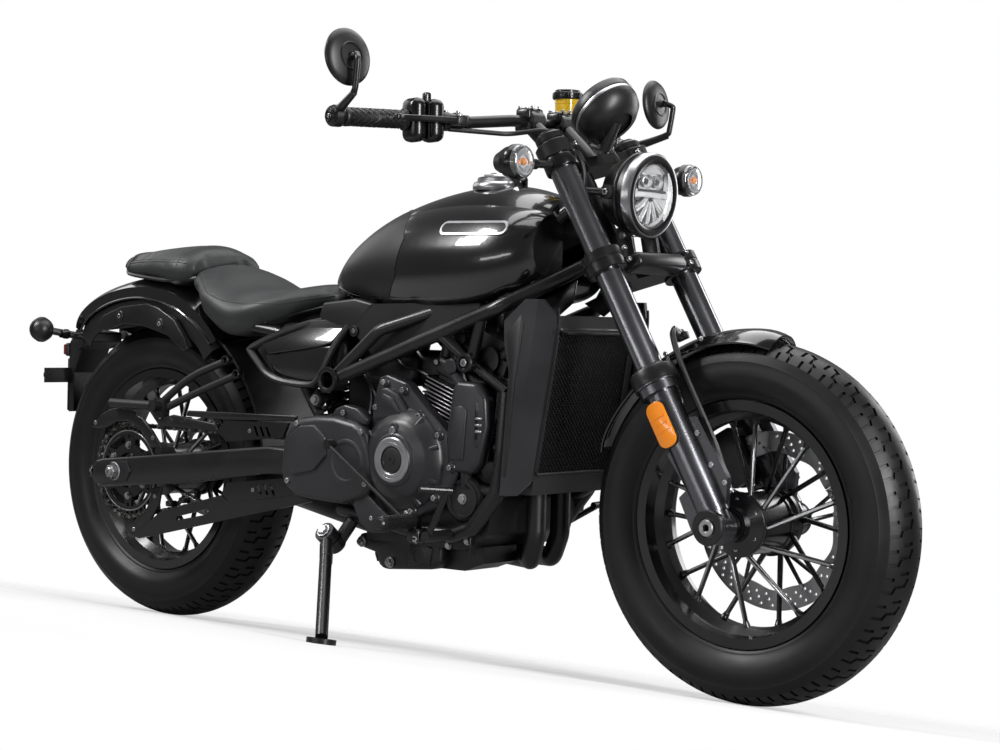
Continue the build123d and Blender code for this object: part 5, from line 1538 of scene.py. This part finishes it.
def panel(outline, thick, step=9.0):
    """A thin convex panel in X and Z, cut from a fine grid so that it can be laid on a skin."""
    xs, zs = [p[0] for p in outline], [p[1] for p in outline]
    wide, tall = max(xs) - min(xs), max(zs) - min(zs)
    bm = bmesh.new()
    bmesh.ops.create_grid(bm, x_segments=max(2, int(wide / step)), y_segments=max(2, int(tall / step)),
                          size=0.5)
    middle = Vector(((max(xs) + min(xs)) / 2, 0, (max(zs) + min(zs)) / 2))
    bm.transform(Matrix.Translation(middle) @ Matrix(((wide, 0, 0, 0), (0, 0, 1, 0),
                                                      (0, tall, 0, 0), (0, 0, 0, 1))))
    inside = Vector((sum(xs) / len(xs), 0, sum(zs) / len(zs)))
    for (x0, z0), (x1, z1) in zip(outline, outline[1:] + outline[:1]):
        square = Vector((z1 - z0, 0, x0 - x1)).normalized()
        if square.dot(Vector((x0, 0, z0)) - inside) < 0:
            square.negate()
        geom = bm.verts[:] + bm.edges[:] + bm.faces[:]
        bmesh.ops.bisect_plane(bm, geom=geom, plane_co=(x0, 0, z0), plane_no=square, clear_outer=True)
    thickened(bm, bm.faces[:], (0, thick, 0))
    return bm


# --------------------------------------------------------------------------- the seats
# x, floor, its half width, widest height, half width, shoulder, its half width, top
RIDER_SEAT = [(-594, 716, 92, 734, 108, 754, 84, 762), (-584, 708, 98, 730, 116, 756, 92, 770),
              (-540, 660, 116, 700, 142, 740, 104, 754), (-450, 620, 130, 668, 155, 704, 116, 712),
              (-360, 646, 120, 680, 143, 704, 108, 711), (-280, 672, 72, 698, 90, 716, 70, 724),
              (-222, 690, 40, 704, 52, 716, 38, 722), (-212, 696, 28, 706, 38, 714, 28, 718)]
PILLION_SEAT = [(-884, 750, 36, 758, 42, 764, 34, 767), (-872, 744, 52, 758, 60, 770, 50, 776),
                (-846, 741, 68, 758, 80, 776, 64, 785), (-740, 734, 96, 758, 113, 784, 92, 797),
                (-650, 724, 104, 756, 121, 786, 96, 803), (-616, 728, 98, 756, 113, 782, 90, 797),
                (-602, 738, 88, 758, 98, 774, 80, 784)]
# The seam round each cushion's top, as X and Z.
RIDER_SEAM = [(-582, 743), (-556, 728), (-520, 704), (-473, 690), (-413, 684), (-327, 686),
              (-270, 699), (-226, 706)]
PILLION_SEAM = [(-866, 762), (-846, 766), (-780, 769), (-700, 770), (-640, 769), (-612, 766)]
# The moulded edge of each seat's pan, on the left.
PILLION_RAIL = [(-600, 92, 736), (-660, 104, 728), (-760, 96, 736), (-850, 68, 744), (-878, 40, 750)]
RIDER_RAIL = [(-586, 94, 708), (-530, 118, 660), (-450, 131, 622), (-360, 120, 648),
              (-284, 74, 674), (-222, 42, 692)]
# The pads' voxel size and the most that they swell, in metres.
PAD_VOXEL, PAD_SWELL = 0.0055, 0.005


def cushion_ring(x, low, low_half, middle, half, shoulder, shoulder_half, top):
    """Points round one cross section: flat floor, bulging sides and a crowned top."""
    def bow(a, b, c, steps):
        control = 2 * b - (a + c) / 2
        return [a.lerp(control, t).lerp(control.lerp(c, t), t)
                for t in (n / steps for n in range(steps))]
    foot, belly, brow = (Vector((x, low_half, low)), Vector((x, half, middle)),
                         Vector((x, shoulder_half, shoulder)))
    crown = Vector((x, 0, top))
    other = [Vector((x, -v.y, v.z)) for v in (foot, belly, brow)]
    return (bow(foot, belly, brow, 7) + bow(brow, crown, other[2], 16)
            + bow(other[2], other[1], other[0], 7)
            + [other[0].lerp(foot, n / 6) for n in range(6)])


def cushion(table):
    """A closed cushion through its cross sections, eased between them."""
    bm = bmesh.new()
    rows = []
    for n in range(len(table) - 1):
        before, after = table[max(0, n - 1)], table[min(len(table) - 1, n + 2)]
        steps = max(1, round(abs(table[n + 1][0] - table[n][0]) / 14))
        for k in range(steps):
            t = k / steps
            row = []
            for a, b, c, d in zip(before, table[n], table[n + 1], after):
                row.append(0.5 * (2 * b + (c - a) * t + (2 * a - 5 * b + 4 * c - d) * t * t
                                  + (3 * b - a - 3 * c + d) * t ** 3))
            row[0] = table[n][0] + (table[n + 1][0] - table[n][0]) * t
            rows.append(row)
    rows.append(table[-1])
    edges = []
    for row in rows:
        ring = [bm.verts.new(v) for v in cushion_ring(*row)]
        edges += [bm.edges.new(pair) for pair in zip(ring, ring[1:] + ring[:1])]
        if row is rows[0] or row is rows[-1]:
            bm.faces.new(ring)
    bmesh.ops.bridge_loops(bm, edges=edges)
    return outward(bm)


def apply_modifiers(thing):
    """Makes an object's modifiers part of its mesh."""
    depsgraph = bpy.context.evaluated_depsgraph_get()
    mesh = bpy.data.meshes.new_from_object(thing.evaluated_get(depsgraph))
    old = thing.data
    thing.modifiers.clear()
    thing.data = mesh
    bpy.data.meshes.remove(old)


def puffed(thing, limit, frames=20):
    """Blows a cushion up by a short cloth simulation, no point further than a limit in metres."""
    before = [v.co.copy() for v in thing.data.vertices]
    cloth = thing.modifiers.new("cloth", "CLOTH")
    cloth.settings.quality = 5
    cloth.settings.use_pressure = True
    cloth.settings.uniform_pressure_force = 4.0
    cloth.settings.effector_weights.gravity = 0
    cloth.settings.tension_stiffness = 18
    cloth.settings.compression_stiffness = 12
    cloth.settings.bending_stiffness = 0.6
    cloth.point_cache.frame_start, cloth.point_cache.frame_end = 1, frames
    for frame_number in range(1, frames + 1):
        bpy.context.scene.frame_set(frame_number)
    apply_modifiers(thing)
    for vert, start in zip(thing.data.vertices, before):
        move = vert.co - start
        if move.length > limit:
            vert.co = start + move * (limit / move.length)
    bpy.context.scene.frame_set(1)


def swollen(name, bm, limit):
    """A cushion remeshed, puffed out and smoothed."""
    bm.transform(STOOD)
    mesh = bpy.data.meshes.new(name)
    bm.to_mesh(mesh)
    bm.free()
    thing = linked(name, mesh)
    remesh = thing.modifiers.new("remesh", "REMESH")
    remesh.mode = "VOXEL"
    remesh.voxel_size = PAD_VOXEL
    apply_modifiers(thing)
    puffed(thing, limit)
    smooth = thing.modifiers.new("smooth", "SMOOTH")
    smooth.factor, smooth.iterations = 0.5, 4
    finer = thing.modifiers.new("finer", "SUBSURF")
    finer.levels = finer.render_levels = 1
    apply_modifiers(thing)
    for face in thing.data.polygons:
        face.use_smooth = True
    return thing


def hoop(tree, x, above, steps, lift=0.0):
    """A line over a seat at X, found by rays that close in on its middle from all round."""
    middle = Vector((x, 0, 756))
    line = []
    for n in range(steps + 1):
        y, z = polar(1, math.pi * n / steps)
        start = Vector((x, 260 * y, above + 200 * z))
        hit = tree.ray_cast(start, (middle - start).normalized())[0]
        if hit:
            line.append(hit + (hit - middle).normalized() * lift)
    return line


class AddSeats(bpy.types.Operator):
    """Padded seats with piped seams, stitching and the grab strap"""
    bl_idname = "motorcycle.seats"
    bl_label = "Seats"

    def execute(self, context):
        seams, threads, pans, steel = [], [], [], []
        for node, table, seam in (("rider_seat", RIDER_SEAT, RIDER_SEAM),
                                  ("pillion_seat", PILLION_SEAT, PILLION_SEAM)):
            pad = swollen(node + "_pad", cushion(table), PAD_SWELL)
            pad.data.materials.clear()
            pad.data.materials.append(MATERIALS["pebbled_vinyl"])
            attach(pad, "frame")
            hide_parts(node)
            tree = skin_of(pad)
            for side in SIDES:
                line = []
                for (x0, z0), (x1, z1) in zip(seam, seam[1:]):
                    line += [touch(tree, x0 + (x1 - x0) * k / 4, z0 + (z1 - z0) * k / 4, side)[0]
                             for k in range(4)]
                seams.append(bent(line, 3.0, 8))
                # Three stitches to each stretch of the piping, just above it.
                above = Vector((0, side * 0.6, 5.2))
                for a, b in zip(line, line[1:]):
                    for k in range(3):
                        spots = [a.lerp(b, (k + share) / 3) + above for share in (0.2, 0.75)]
                        (hit, normal), (end, _) = (touch(tree, v.x, v.z, side) for v in spots)
                        if (end - hit).length < 12:
                            threads.append(rod(hit + normal * 0.3, end + normal * 0.3, 1.1, 1.1, 6))
        # The seam and the strap across the passenger's seat, on the last skin found.
        seams.append(bent(hoop(tree, -640, 770, 24), 3.4, 8))
        seams += [bent(hoop(tree, x, 764, 28, 1.2), 4.5, 8) for x in (-858, -834)]
        pans.append(block((70, 26, 14), facing((-876, 0, 750), UP, ACROSS), 4, 3))
        for side in SIDES:
            steel.append(bolt((-700, side * 60, 728), -UP, 10, 3))
            for wide, rail in ((9, PILLION_RAIL), (7, RIDER_RAIL)):
                pans.append(bent([(x, side * y, z) for x, y, z in rail], wide, 10))
        piece("seat_seams", "frame",
              {"pebbled_vinyl": seams, "waxed_thread": threads, "textured_abs": pans,
               "plated_steel": steel})
        return {"FINISHED"}


# --------------------------------------------------------------------------- the bodywork
class AddTankTrim(bpy.types.Operator):
    """Tank seam, knee panels, blank badge plates and the filler ring"""
    bl_idname = "motorcycle.tank_trim"
    bl_label = "Tank trim"

    def execute(self, context):
        tree = skin_of(NODES["fuel_tank"])
        matt, bright, dark = [], [], []
        knee = [(-44, 876), (4, 862), (28, 815), (12, 742), (-20, 704), (-120, 708), (-190, 718),
                (-196, 758), (-110, 838)]
        seam = [(-214, 722), (-160, 706), (-80, 703), (20, 701), (140, 703), (250, 718), (318, 756)]
        for side in SIDES:
            matt.append(laid(panel(knee, 1.3), tree, side))
            for inset, high, group in ((0, 2.6, bright), (4.5, 3.4, dark)):
                outline = pill_outline(158 - 2 * inset, 26 - 2 * inset, 12.5 - inset, 6)
                badge = panel([(201 + x, 834 + z) for x, z in outline], high, 6.0)
                group.append(laid(badge, tree, side))
            dark.append(bent([touch(tree, x, z, side)[0] for x, z in seam], 6, 10))
        bright.append(turned([(44.5, 912), (50, 912), (52, 915), (52, 922), (49, 927), (45, 929.4),
                              (43.4, 929)], facing((146, 0, 0), UP), 72))
        for turn in around(6, 30):
            x, y = polar(48, math.radians(turn))
            bright.append(bolt((146 + x, y, 926.5), UP, 5, 2))
        piece("tank_panels", "frame",
              {"satin_black_enamel": matt, "machined_aluminium": bright, "gloss_black_enamel": dark})
        lid = [turned([(20, 936), (38, 936.2), (41, 937.4), (36, 938.6), (24, 938.4)],
                      facing((146, 0, 0), UP), 64, closed=True),
               block((15, 44, 5), facing((150, 0, 943), UP, ALONG), 2),
               turned([(0, 944), (6, 944), (6.4, 947), (2, 947.4), (0, 946.6)],
                      facing((132, 0, 0), UP), 24)]
        piece("filler_lid_trim", "fuel_cap", {"machined_aluminium": lid})
        return {"FINISHED"}


class AddSideCovers(bpy.types.Operator):
    """Side covers with thick lips and bright facets, the air box and the splash guard"""
    bl_idname = "motorcycle.side_covers"
    bl_label = "Side covers"

    def execute(self, context):
        gloss, dark = [], []
        outline = [(-380, 592), (-352, 612), (-226, 654), (-118, 660), (-150, 610), (-182, 534),
                   (-212, 524), (-318, 534), (-362, 574)]

        def dip(z):
            """How far the cover's upper part leans in at a height."""
            return 0.5 * max(0.0, z - 592)

        for side in SIDES:
            facet = side_plate([(-350, 604), (-222, 648), (-132, 653), (-158, 611), (-188, 603),
                                (-322, 584)], side * 134, side * 150, 2.5, 3)
            for vert in facet.verts:
                vert.co.y -= side * dip(vert.co.z)
            gloss.append(facet)
            gloss.append(side_plate([(-340, 582), (-184, 604), (-156, 606), (-190, 540),
                                     (-216, 531), (-312, 540)], side * 112, side * 141, 4, 3))
            dark.append(side_plate(outline, side * 108, side * 118, 3))
            dark.append(side_plate(outline, side * 116, side * 126, 2))
            dark.append(bent([(x, side * (148 - dip(z)), z) for x, z in outline], 14, 14, cyclic=True))
            dark.append(side_plate([(-118, 634), (-60, 690), (-110, 700), (-196, 690), (-208, 660)],
                                   side * 104, side * 127, 5, 3))
        # The air box and battery tray between the covers, and the ribs across them.
        for size, at, edge, segments in (((250, 190, 96), (-236, 0, 600), 24, 4),
                                         ((150, 150, 70), (-64, 0, 566), 18, 4),
                                         ((70, 130, 120), (-150, 0, 520), 14, 3)):
            dark.append(block(size, facing(at, UP, ALONG), edge, segments))
        for n in range(5):
            dark.append(block((8, 196, 60), facing((-330 + 44 * n, 0, 596), UP, ALONG), 3))
        # The splash guard that curves round the front of the rear tyre.
        spots = [angled(REAR_AXLE, radius, turn)
                 for radius, turns in ((358, range(6, 70, 4)), (352, range(66, 2, -4)))
                 for turn in turns]
        dark.append(side_plate([(spot.x, spot.z) for spot in spots], -92, 92, 1.2, 1))
        piece("side_cover_panels", "frame",
              {"gloss_black_enamel": gloss, "textured_abs": dark}, ["side_covers"])
        return {"FINISHED"}


# The rear mudguard's lower edge: X, Z, half width.
REAR_GUARD_EDGE = [(-976, 614, 90), (-953, 637, 98), (-913, 660, 103), (-850, 683, 106),
                   (-768, 694, 108), (-690, 684, 108), (-610, 658, 108), (-540, 598, 106)]


class AddTail(bpy.types.Operator):
    """Mudguard beads, strut plates, number-plate holder, tail lamp and its trim"""
    bl_idname = "motorcycle.tail"
    bl_label = "Tail"

    def execute(self, context):
        beads, struts, bolts, plastic, red = [], [], [], [], []
        strut = [(-880, 640), (-866, 652), (-806, 672), (-725, 680), (-690, 672), (-640, 648),
                 (-604, 606), (-592, 586), (-604, 580), (-622, 588), (-660, 614), (-740, 632),
                 (-800, 634), (-856, 618), (-872, 622)]
        for side in SIDES:
            out = ACROSS * side
            beads.append(bent([(x, side * (half + 0.5), z) for x, z, half in REAR_GUARD_EDGE], 5, 10))
            struts.append(side_plate(strut, side * 113, side * 120, 2.6, 3))
            for x, z in ((-811, 651), (-682, 637)):
                struts.append(turned([(0, 0), (12, 0), (12, 2), (9, 3.4), (0, 3.4)],
                                     facing((x, side * 119, z), out), 28))
                bolts.append(bolt((x, side * 121, z), out, 10, 3))
            # Open ends of the strut tubes.
            for x, z in ((-463, 567), (-430, 540)):
                struts.append(turned([(5.6, -6), (9.6, -6), (10.4, -3), (10.4, 8), (9.4, 9.6),
                                      (6.4, 9.6), (5.6, 7)], facing((x, side * 128, z), out), 32,
                                     closed=True))
            plastic.append(turned([(3.6, 0), (9, 0), (9.6, 1.5), (9, 3), (3.6, 3)],
                                  facing((-1075, side * 101, 514), -ALONG), 28, closed=True))
            plastic.append(side_plate([(-1066, 592), (-1034, 612), (-1000, 608), (-1006, 580),
                                       (-1040, 572)], side * 38, side * 46, 4, 3))
            for z in (452, 552):
                bolts.append(bolt((-1075, side * 30, z), -ALONG, 9, 3))
        plastic.append(block((84, 118, 5), facing((-1075, 0, 492), -ALONG, UP), 2, 2))
        for n in range(9):
            red.append(block((6.6, 20, 3), facing((-1093.4, -33.6 + 8.4 * n, 571), -ALONG, UP), 1.2, 2))
        plastic.append(block((92, 30, 10), facing((-1078, 0, 571), -ALONG, UP), 4, 3))
        plastic.append(block((34, 22, 12), facing((-1068, 0, 540), -ALONG, UP), 4, 2))
        piece("tail_fittings", "frame",
              {"gloss_black_enamel": beads, "textured_abs": plastic, "satin_powder_coat": struts,
               "plated_steel": bolts})
        piece("tail_lamp_lens", "frame", {"red_acrylic": red})
        return {"FINISHED"}


class AddStandTrim(bpy.types.Operator):
    """Side stand's eye, pivot bolt and spring"""
    bl_idname = "motorcycle.stand_trim"
    bl_label = "Side stand trim"

    def execute(self, context):
        pivot, foot = Vector((-115, -184, 240)), Vector((13, -326, 65))
        axis = (foot - pivot).cross(-ALONG).normalized()
        along = (foot - pivot).normalized()
        peg = pivot + along * 70 + axis * 13
        steel = [turned([(8.2, -11.5), (19, -11.5), (20.5, -10), (20.5, 10), (19, 11.5),
                         (8.2, 11.5)], facing(pivot, axis), 40, closed=True),
                 rod(pivot + along * 26, pivot + along * 60, 26, 24.5, 24),
                 rod(pivot + along * 70, peg + axis * 4, 8, 8, 16)]
        bright = [bolt(pivot - axis * 12, -axis, 22, 8, "hex"),
                  coiled(facing(peg, -along), 5.6, 4, 3.2, 13, 8, 2.2, 6)]
        piece("stand_spring", "side_stand",
              {"satin_powder_coat": steel, "plated_steel": bright})
        return {"FINISHED"}


class AddCalipers(bpy.types.Operator):
    """Caliper bridges, piston caps and pins, and the shock with its coil"""
    bl_idname = "motorcycle.calipers"
    bl_label = "Calipers and shock"

    def execute(self, context):
        for name, body, axle, angle, radius, y in (
                ("front_caliper_trim", "steering", FRONT_AXLE, 140, 138, 71),
                ("rear_caliper_trim", "frame", REAR_AXLE, 40, 92, 87)):
            centre = angled(axle, radius, angle, y)
            place = facing(centre, ACROSS, centre - axle - ACROSS * y)
            cast = [block((86, 44, 8), shifted(place, 0, 0, 27), 4, 3)]
            cast += [turned([(0, 0), (17, 0), (17, 10), (14, 13), (0, 13)],
                            shifted(place, x, 0, 26), 40) for x in (-24, 24)]
            bright = [bolt(place @ Vector(at), ACROSS, size, tall)
                      for size, tall, *spots in ((12, 2, (-24, 0, 39), (24, 0, 39)),
                                                 (11, 6, (-38, 12, 31), (38, 12, 31)))
                      for at in spots]
            # Caliper bridges take the castings darkened as painted shade.
            piece(name, body,
                  {"cast_aluminium_in_painted_shade": cast, "plated_steel": bright})
        low, high = Vector((-258, 0, 440)), Vector((-292, 0, 540))
        run = high - low
        coil = coiled(facing(low, run), 38, 0, run.length / 6, 6, 16, 11, 12)
        body = [rod(low, high, 44, 44, 32), rod((-300, 0, 560), high, 46, 40, 28),
                rod(low, (-250, 0, 420), 40, 34, 28)]
        body += [turned([(0, -4), (45, -4), (46, -2), (46, 3), (0, 3)], facing(end, run), 48)
                 for end in (low, high)]
        # The shock's body takes the castings darkened as painted shade.
        piece("shock_coil", "frame",
              {"satin_powder_coat": [coil], "cast_aluminium_in_painted_shade": body}, ["rear_shock"])
        return {"FINISHED"}


# --------------------------------------------------------------------------- the studio
def floor_material(name, colour, glow):
    """Pale paper that keeps the machine's shadow near it and fades into the white surround."""
    material = bpy.data.materials.new(name)
    tree = emptied(material)
    path = add(tree, "ShaderNodeLightPath")
    place = add(tree, "ShaderNodeTexCoord").outputs["Object"]
    oblong = add(tree, "ShaderNodeMapping", {"Vector": place, "Scale": (0.62, 1, 1)}).outputs[0]
    far = add(tree, "ShaderNodeVectorMath", {0: oblong}, operation="LENGTH").outputs["Value"]
    fade = add(tree, "ShaderNodeMapRange", {"Value": far, "From Min": 0.75, "From Max": 1.7},
               interpolation_type="SMOOTHSTEP")
    paper = add(tree, "ShaderNodeBsdfDiffuse", {"Color": (*colour, 1), "Roughness": 0.5})
    seen = combined(tree, "MULTIPLY", path.outputs["Is Camera Ray"], glow)
    light = add(tree, "ShaderNodeEmission", {"Color": (1, 1, 1, 1), "Strength": seen})
    both = add(tree, "ShaderNodeAddShader", {0: paper.outputs[0], 1: light.outputs[0]})
    clear = add(tree, "ShaderNodeBsdfTransparent")
    mixed = add(tree, "ShaderNodeMixShader", {0: fade.outputs[0], 1: both.outputs[0],
                                              2: clear.outputs[0]})
    add(tree, "ShaderNodeOutputMaterial", {"Surface": mixed.outputs[0]})
    return material


def white_surround(name, mirrored, least):
    """A world that is white to the camera and through glass, and dim in reflections and as light."""
    world = bpy.data.worlds.new(name)
    tree = emptied(world)
    path = add(tree, "ShaderNodeLightPath").outputs
    seen = combined(tree, "MAXIMUM", path["Is Camera Ray"], path["Is Transmission Ray"])
    glossy = combined(tree, "MULTIPLY", path["Is Glossy Ray"], mirrored)
    strength = combined(tree, "MAXIMUM", combined(tree, "MAXIMUM", seen, glossy), least)
    sky = add(tree, "ShaderNodeBackground", {"Color": (1, 1, 1, 1), "Strength": strength})
    add(tree, "ShaderNodeOutputWorld", {"Surface": sky.outputs[0]})
    return world


# Lamps: name, place and aim in row metres, width, height, watts.
LAMPS = [("overhead_softbox", (0.1, 0.2, 2.9), (0.0, 0.0, 0.6), 3.2, 2.0, 58),
         ("front_softbox", (3.4, -1.0, 1.3), (0.4, 0.0, 0.5), 0.34, 2.3, 125),
         ("flank_softbox", (-2.0, -2.5, 2.6), (-0.2, 0.0, 0.4), 0.7, 1.8, 130),
         ("low_strip", (-0.4, -3.4, 0.3), (0.0, 0.0, 0.5), 2.6, 0.25, 12),
         ("rear_softbox", (-3.2, 0.2, 2.1), (-0.5, 0.0, 0.6), 2.2, 1.6, 14),
         ("far_softbox", (1.1, 3.0, 1.8), (0.2, 0.0, 0.6), 1.1, 2.0, 36)]
# The floor's radius in metres and its glow to the camera, then how white the surround is in
# reflections and as light.
FLOOR_RADIUS, FLOOR_GLOW = 3.2, 0.46
MIRRORED_WHITE, LEAST_WHITE = 0.14, 0.07
# The camera that was fitted to the photo: its place in upright metres, its azimuth, elevation and
# roll in degrees, and its lens on a 36 mm sensor.
CAMERA_AT = (2.8022, -3.2227, 0.6769)
CAMERA_TURN = (39.365, 1.619, 1.451)
LENS = 78.04


class AddStudio(bpy.types.Operator):
    """Pale floor, white surround, soft lamps and the camera"""
    bl_idname = "motorcycle.studio"
    bl_label = "Studio"

    def execute(self, context):
        scene = context.scene
        bm = bmesh.new()
        bmesh.ops.create_circle(bm, cap_ends=True, segments=64, radius=FLOOR_RADIUS)
        bmesh.ops.recalc_face_normals(bm, faces=bm.faces)
        mesh = bpy.data.meshes.new("floor")
        bm.to_mesh(mesh)
        bm.free()
        mesh.materials.append(floor_material("floor_paper", scene.motorcycle.floor_colour, FLOOR_GLOW))
        floor = linked("floor", mesh)
        scene.world = white_surround("white_surround", MIRRORED_WHITE, LEAST_WHITE)
        scene.view_settings.view_transform = "Standard"
        for name, at, aim, wide, high, power in LAMPS:
            lamp = bpy.data.lights.new(name, "AREA")
            lamp.shape = "RECTANGLE"
            lamp.size, lamp.size_y = wide, high
            lamp.energy = power
            linked(name, lamp).matrix_world = facing(at, Vector(at) - Vector(aim), UP)
        lens = bpy.data.cameras.new("photo_lens")
        lens.lens = LENS
        lens.sensor_width = 36.0
        camera = linked("camera", lens)
        azimuth, elevation, roll = (math.radians(a) for a in CAMERA_TURN)
        x, y = polar(math.cos(elevation), azimuth)
        back = Vector((y, -x, math.sin(elevation)))
        level = UP.cross(back).normalized()
        high = back.cross(level)
        across = level * math.cos(roll) + high * math.sin(roll)
        upward = high * math.cos(roll) - level * math.sin(roll)
        turn = Matrix((across, upward, back)).transposed().to_4x4()
        stood = STOOD @ Matrix.Scale(1000, 4)
        camera.matrix_world = stood @ Matrix.Translation(CAMERA_AT) @ turn
        scene.camera = camera
        return {"FINISHED"}


class FinishSolids(bpy.types.Operator):
    """Gives every solid part its finish"""
    bl_idname = "motorcycle.solids"
    bl_label = "Solid parts"

    def execute(self, context):
        for finish, names in FINISHES.items():
            for name in names:
                node = NODES[name]
                node.data.materials.clear()
                node.data.materials.append(MATERIALS[finish])
        return {"FINISHED"}


OPERATORS = [FinishSolids, AddTyres, AddDiscs, AddWheelTrim, AddForkTrim, AddFrontFender,
             AddHeadlamp, AddIndicators, AddInstrument, AddReservoir, AddControls, AddMirrors,
             AddEngineCovers, AddCylinders, AddCrankcaseTrim, AddRadiatorTrim, AddFrameTrim,
             AddFootControls, AddSwingarm, AddGuards, AddChain, AddSeats, AddTankTrim,
             AddSideCovers, AddTail, AddStandTrim, AddCalipers, AddStudio]


class MotorcyclePanel(bpy.types.Panel):
    """The motorcycle's pieces and sizes"""
    bl_idname = "VIEW3D_PT_motorcycle"
    bl_label = "Motorcycle"
    bl_space_type = "VIEW_3D"
    bl_region_type = "UI"
    bl_category = "Motorcycle"

    def draw(self, context):
        for name in MotorcycleSizes.__annotations__:
            self.layout.prop(context.scene.motorcycle, name)
        for operator in OPERATORS:
            self.layout.operator(operator.bl_idname)


def register():
    for kind in [MotorcycleSizes, *OPERATORS, MotorcyclePanel]:
        bpy.utils.register_class(kind)
    bpy.types.Scene.motorcycle = bpy.props.PointerProperty(type=MotorcycleSizes)


def unregister():
    del bpy.types.Scene.motorcycle
    for kind in [MotorcyclePanel, *reversed(OPERATORS), MotorcycleSizes]:
        bpy.utils.unregister_class(kind)


def main():
    register()
    make_materials()
    for operator in OPERATORS:
        group, name = operator.bl_idname.split(".")
        getattr(getattr(bpy.ops, group), name)()


if __name__ == "__main__":
    main()
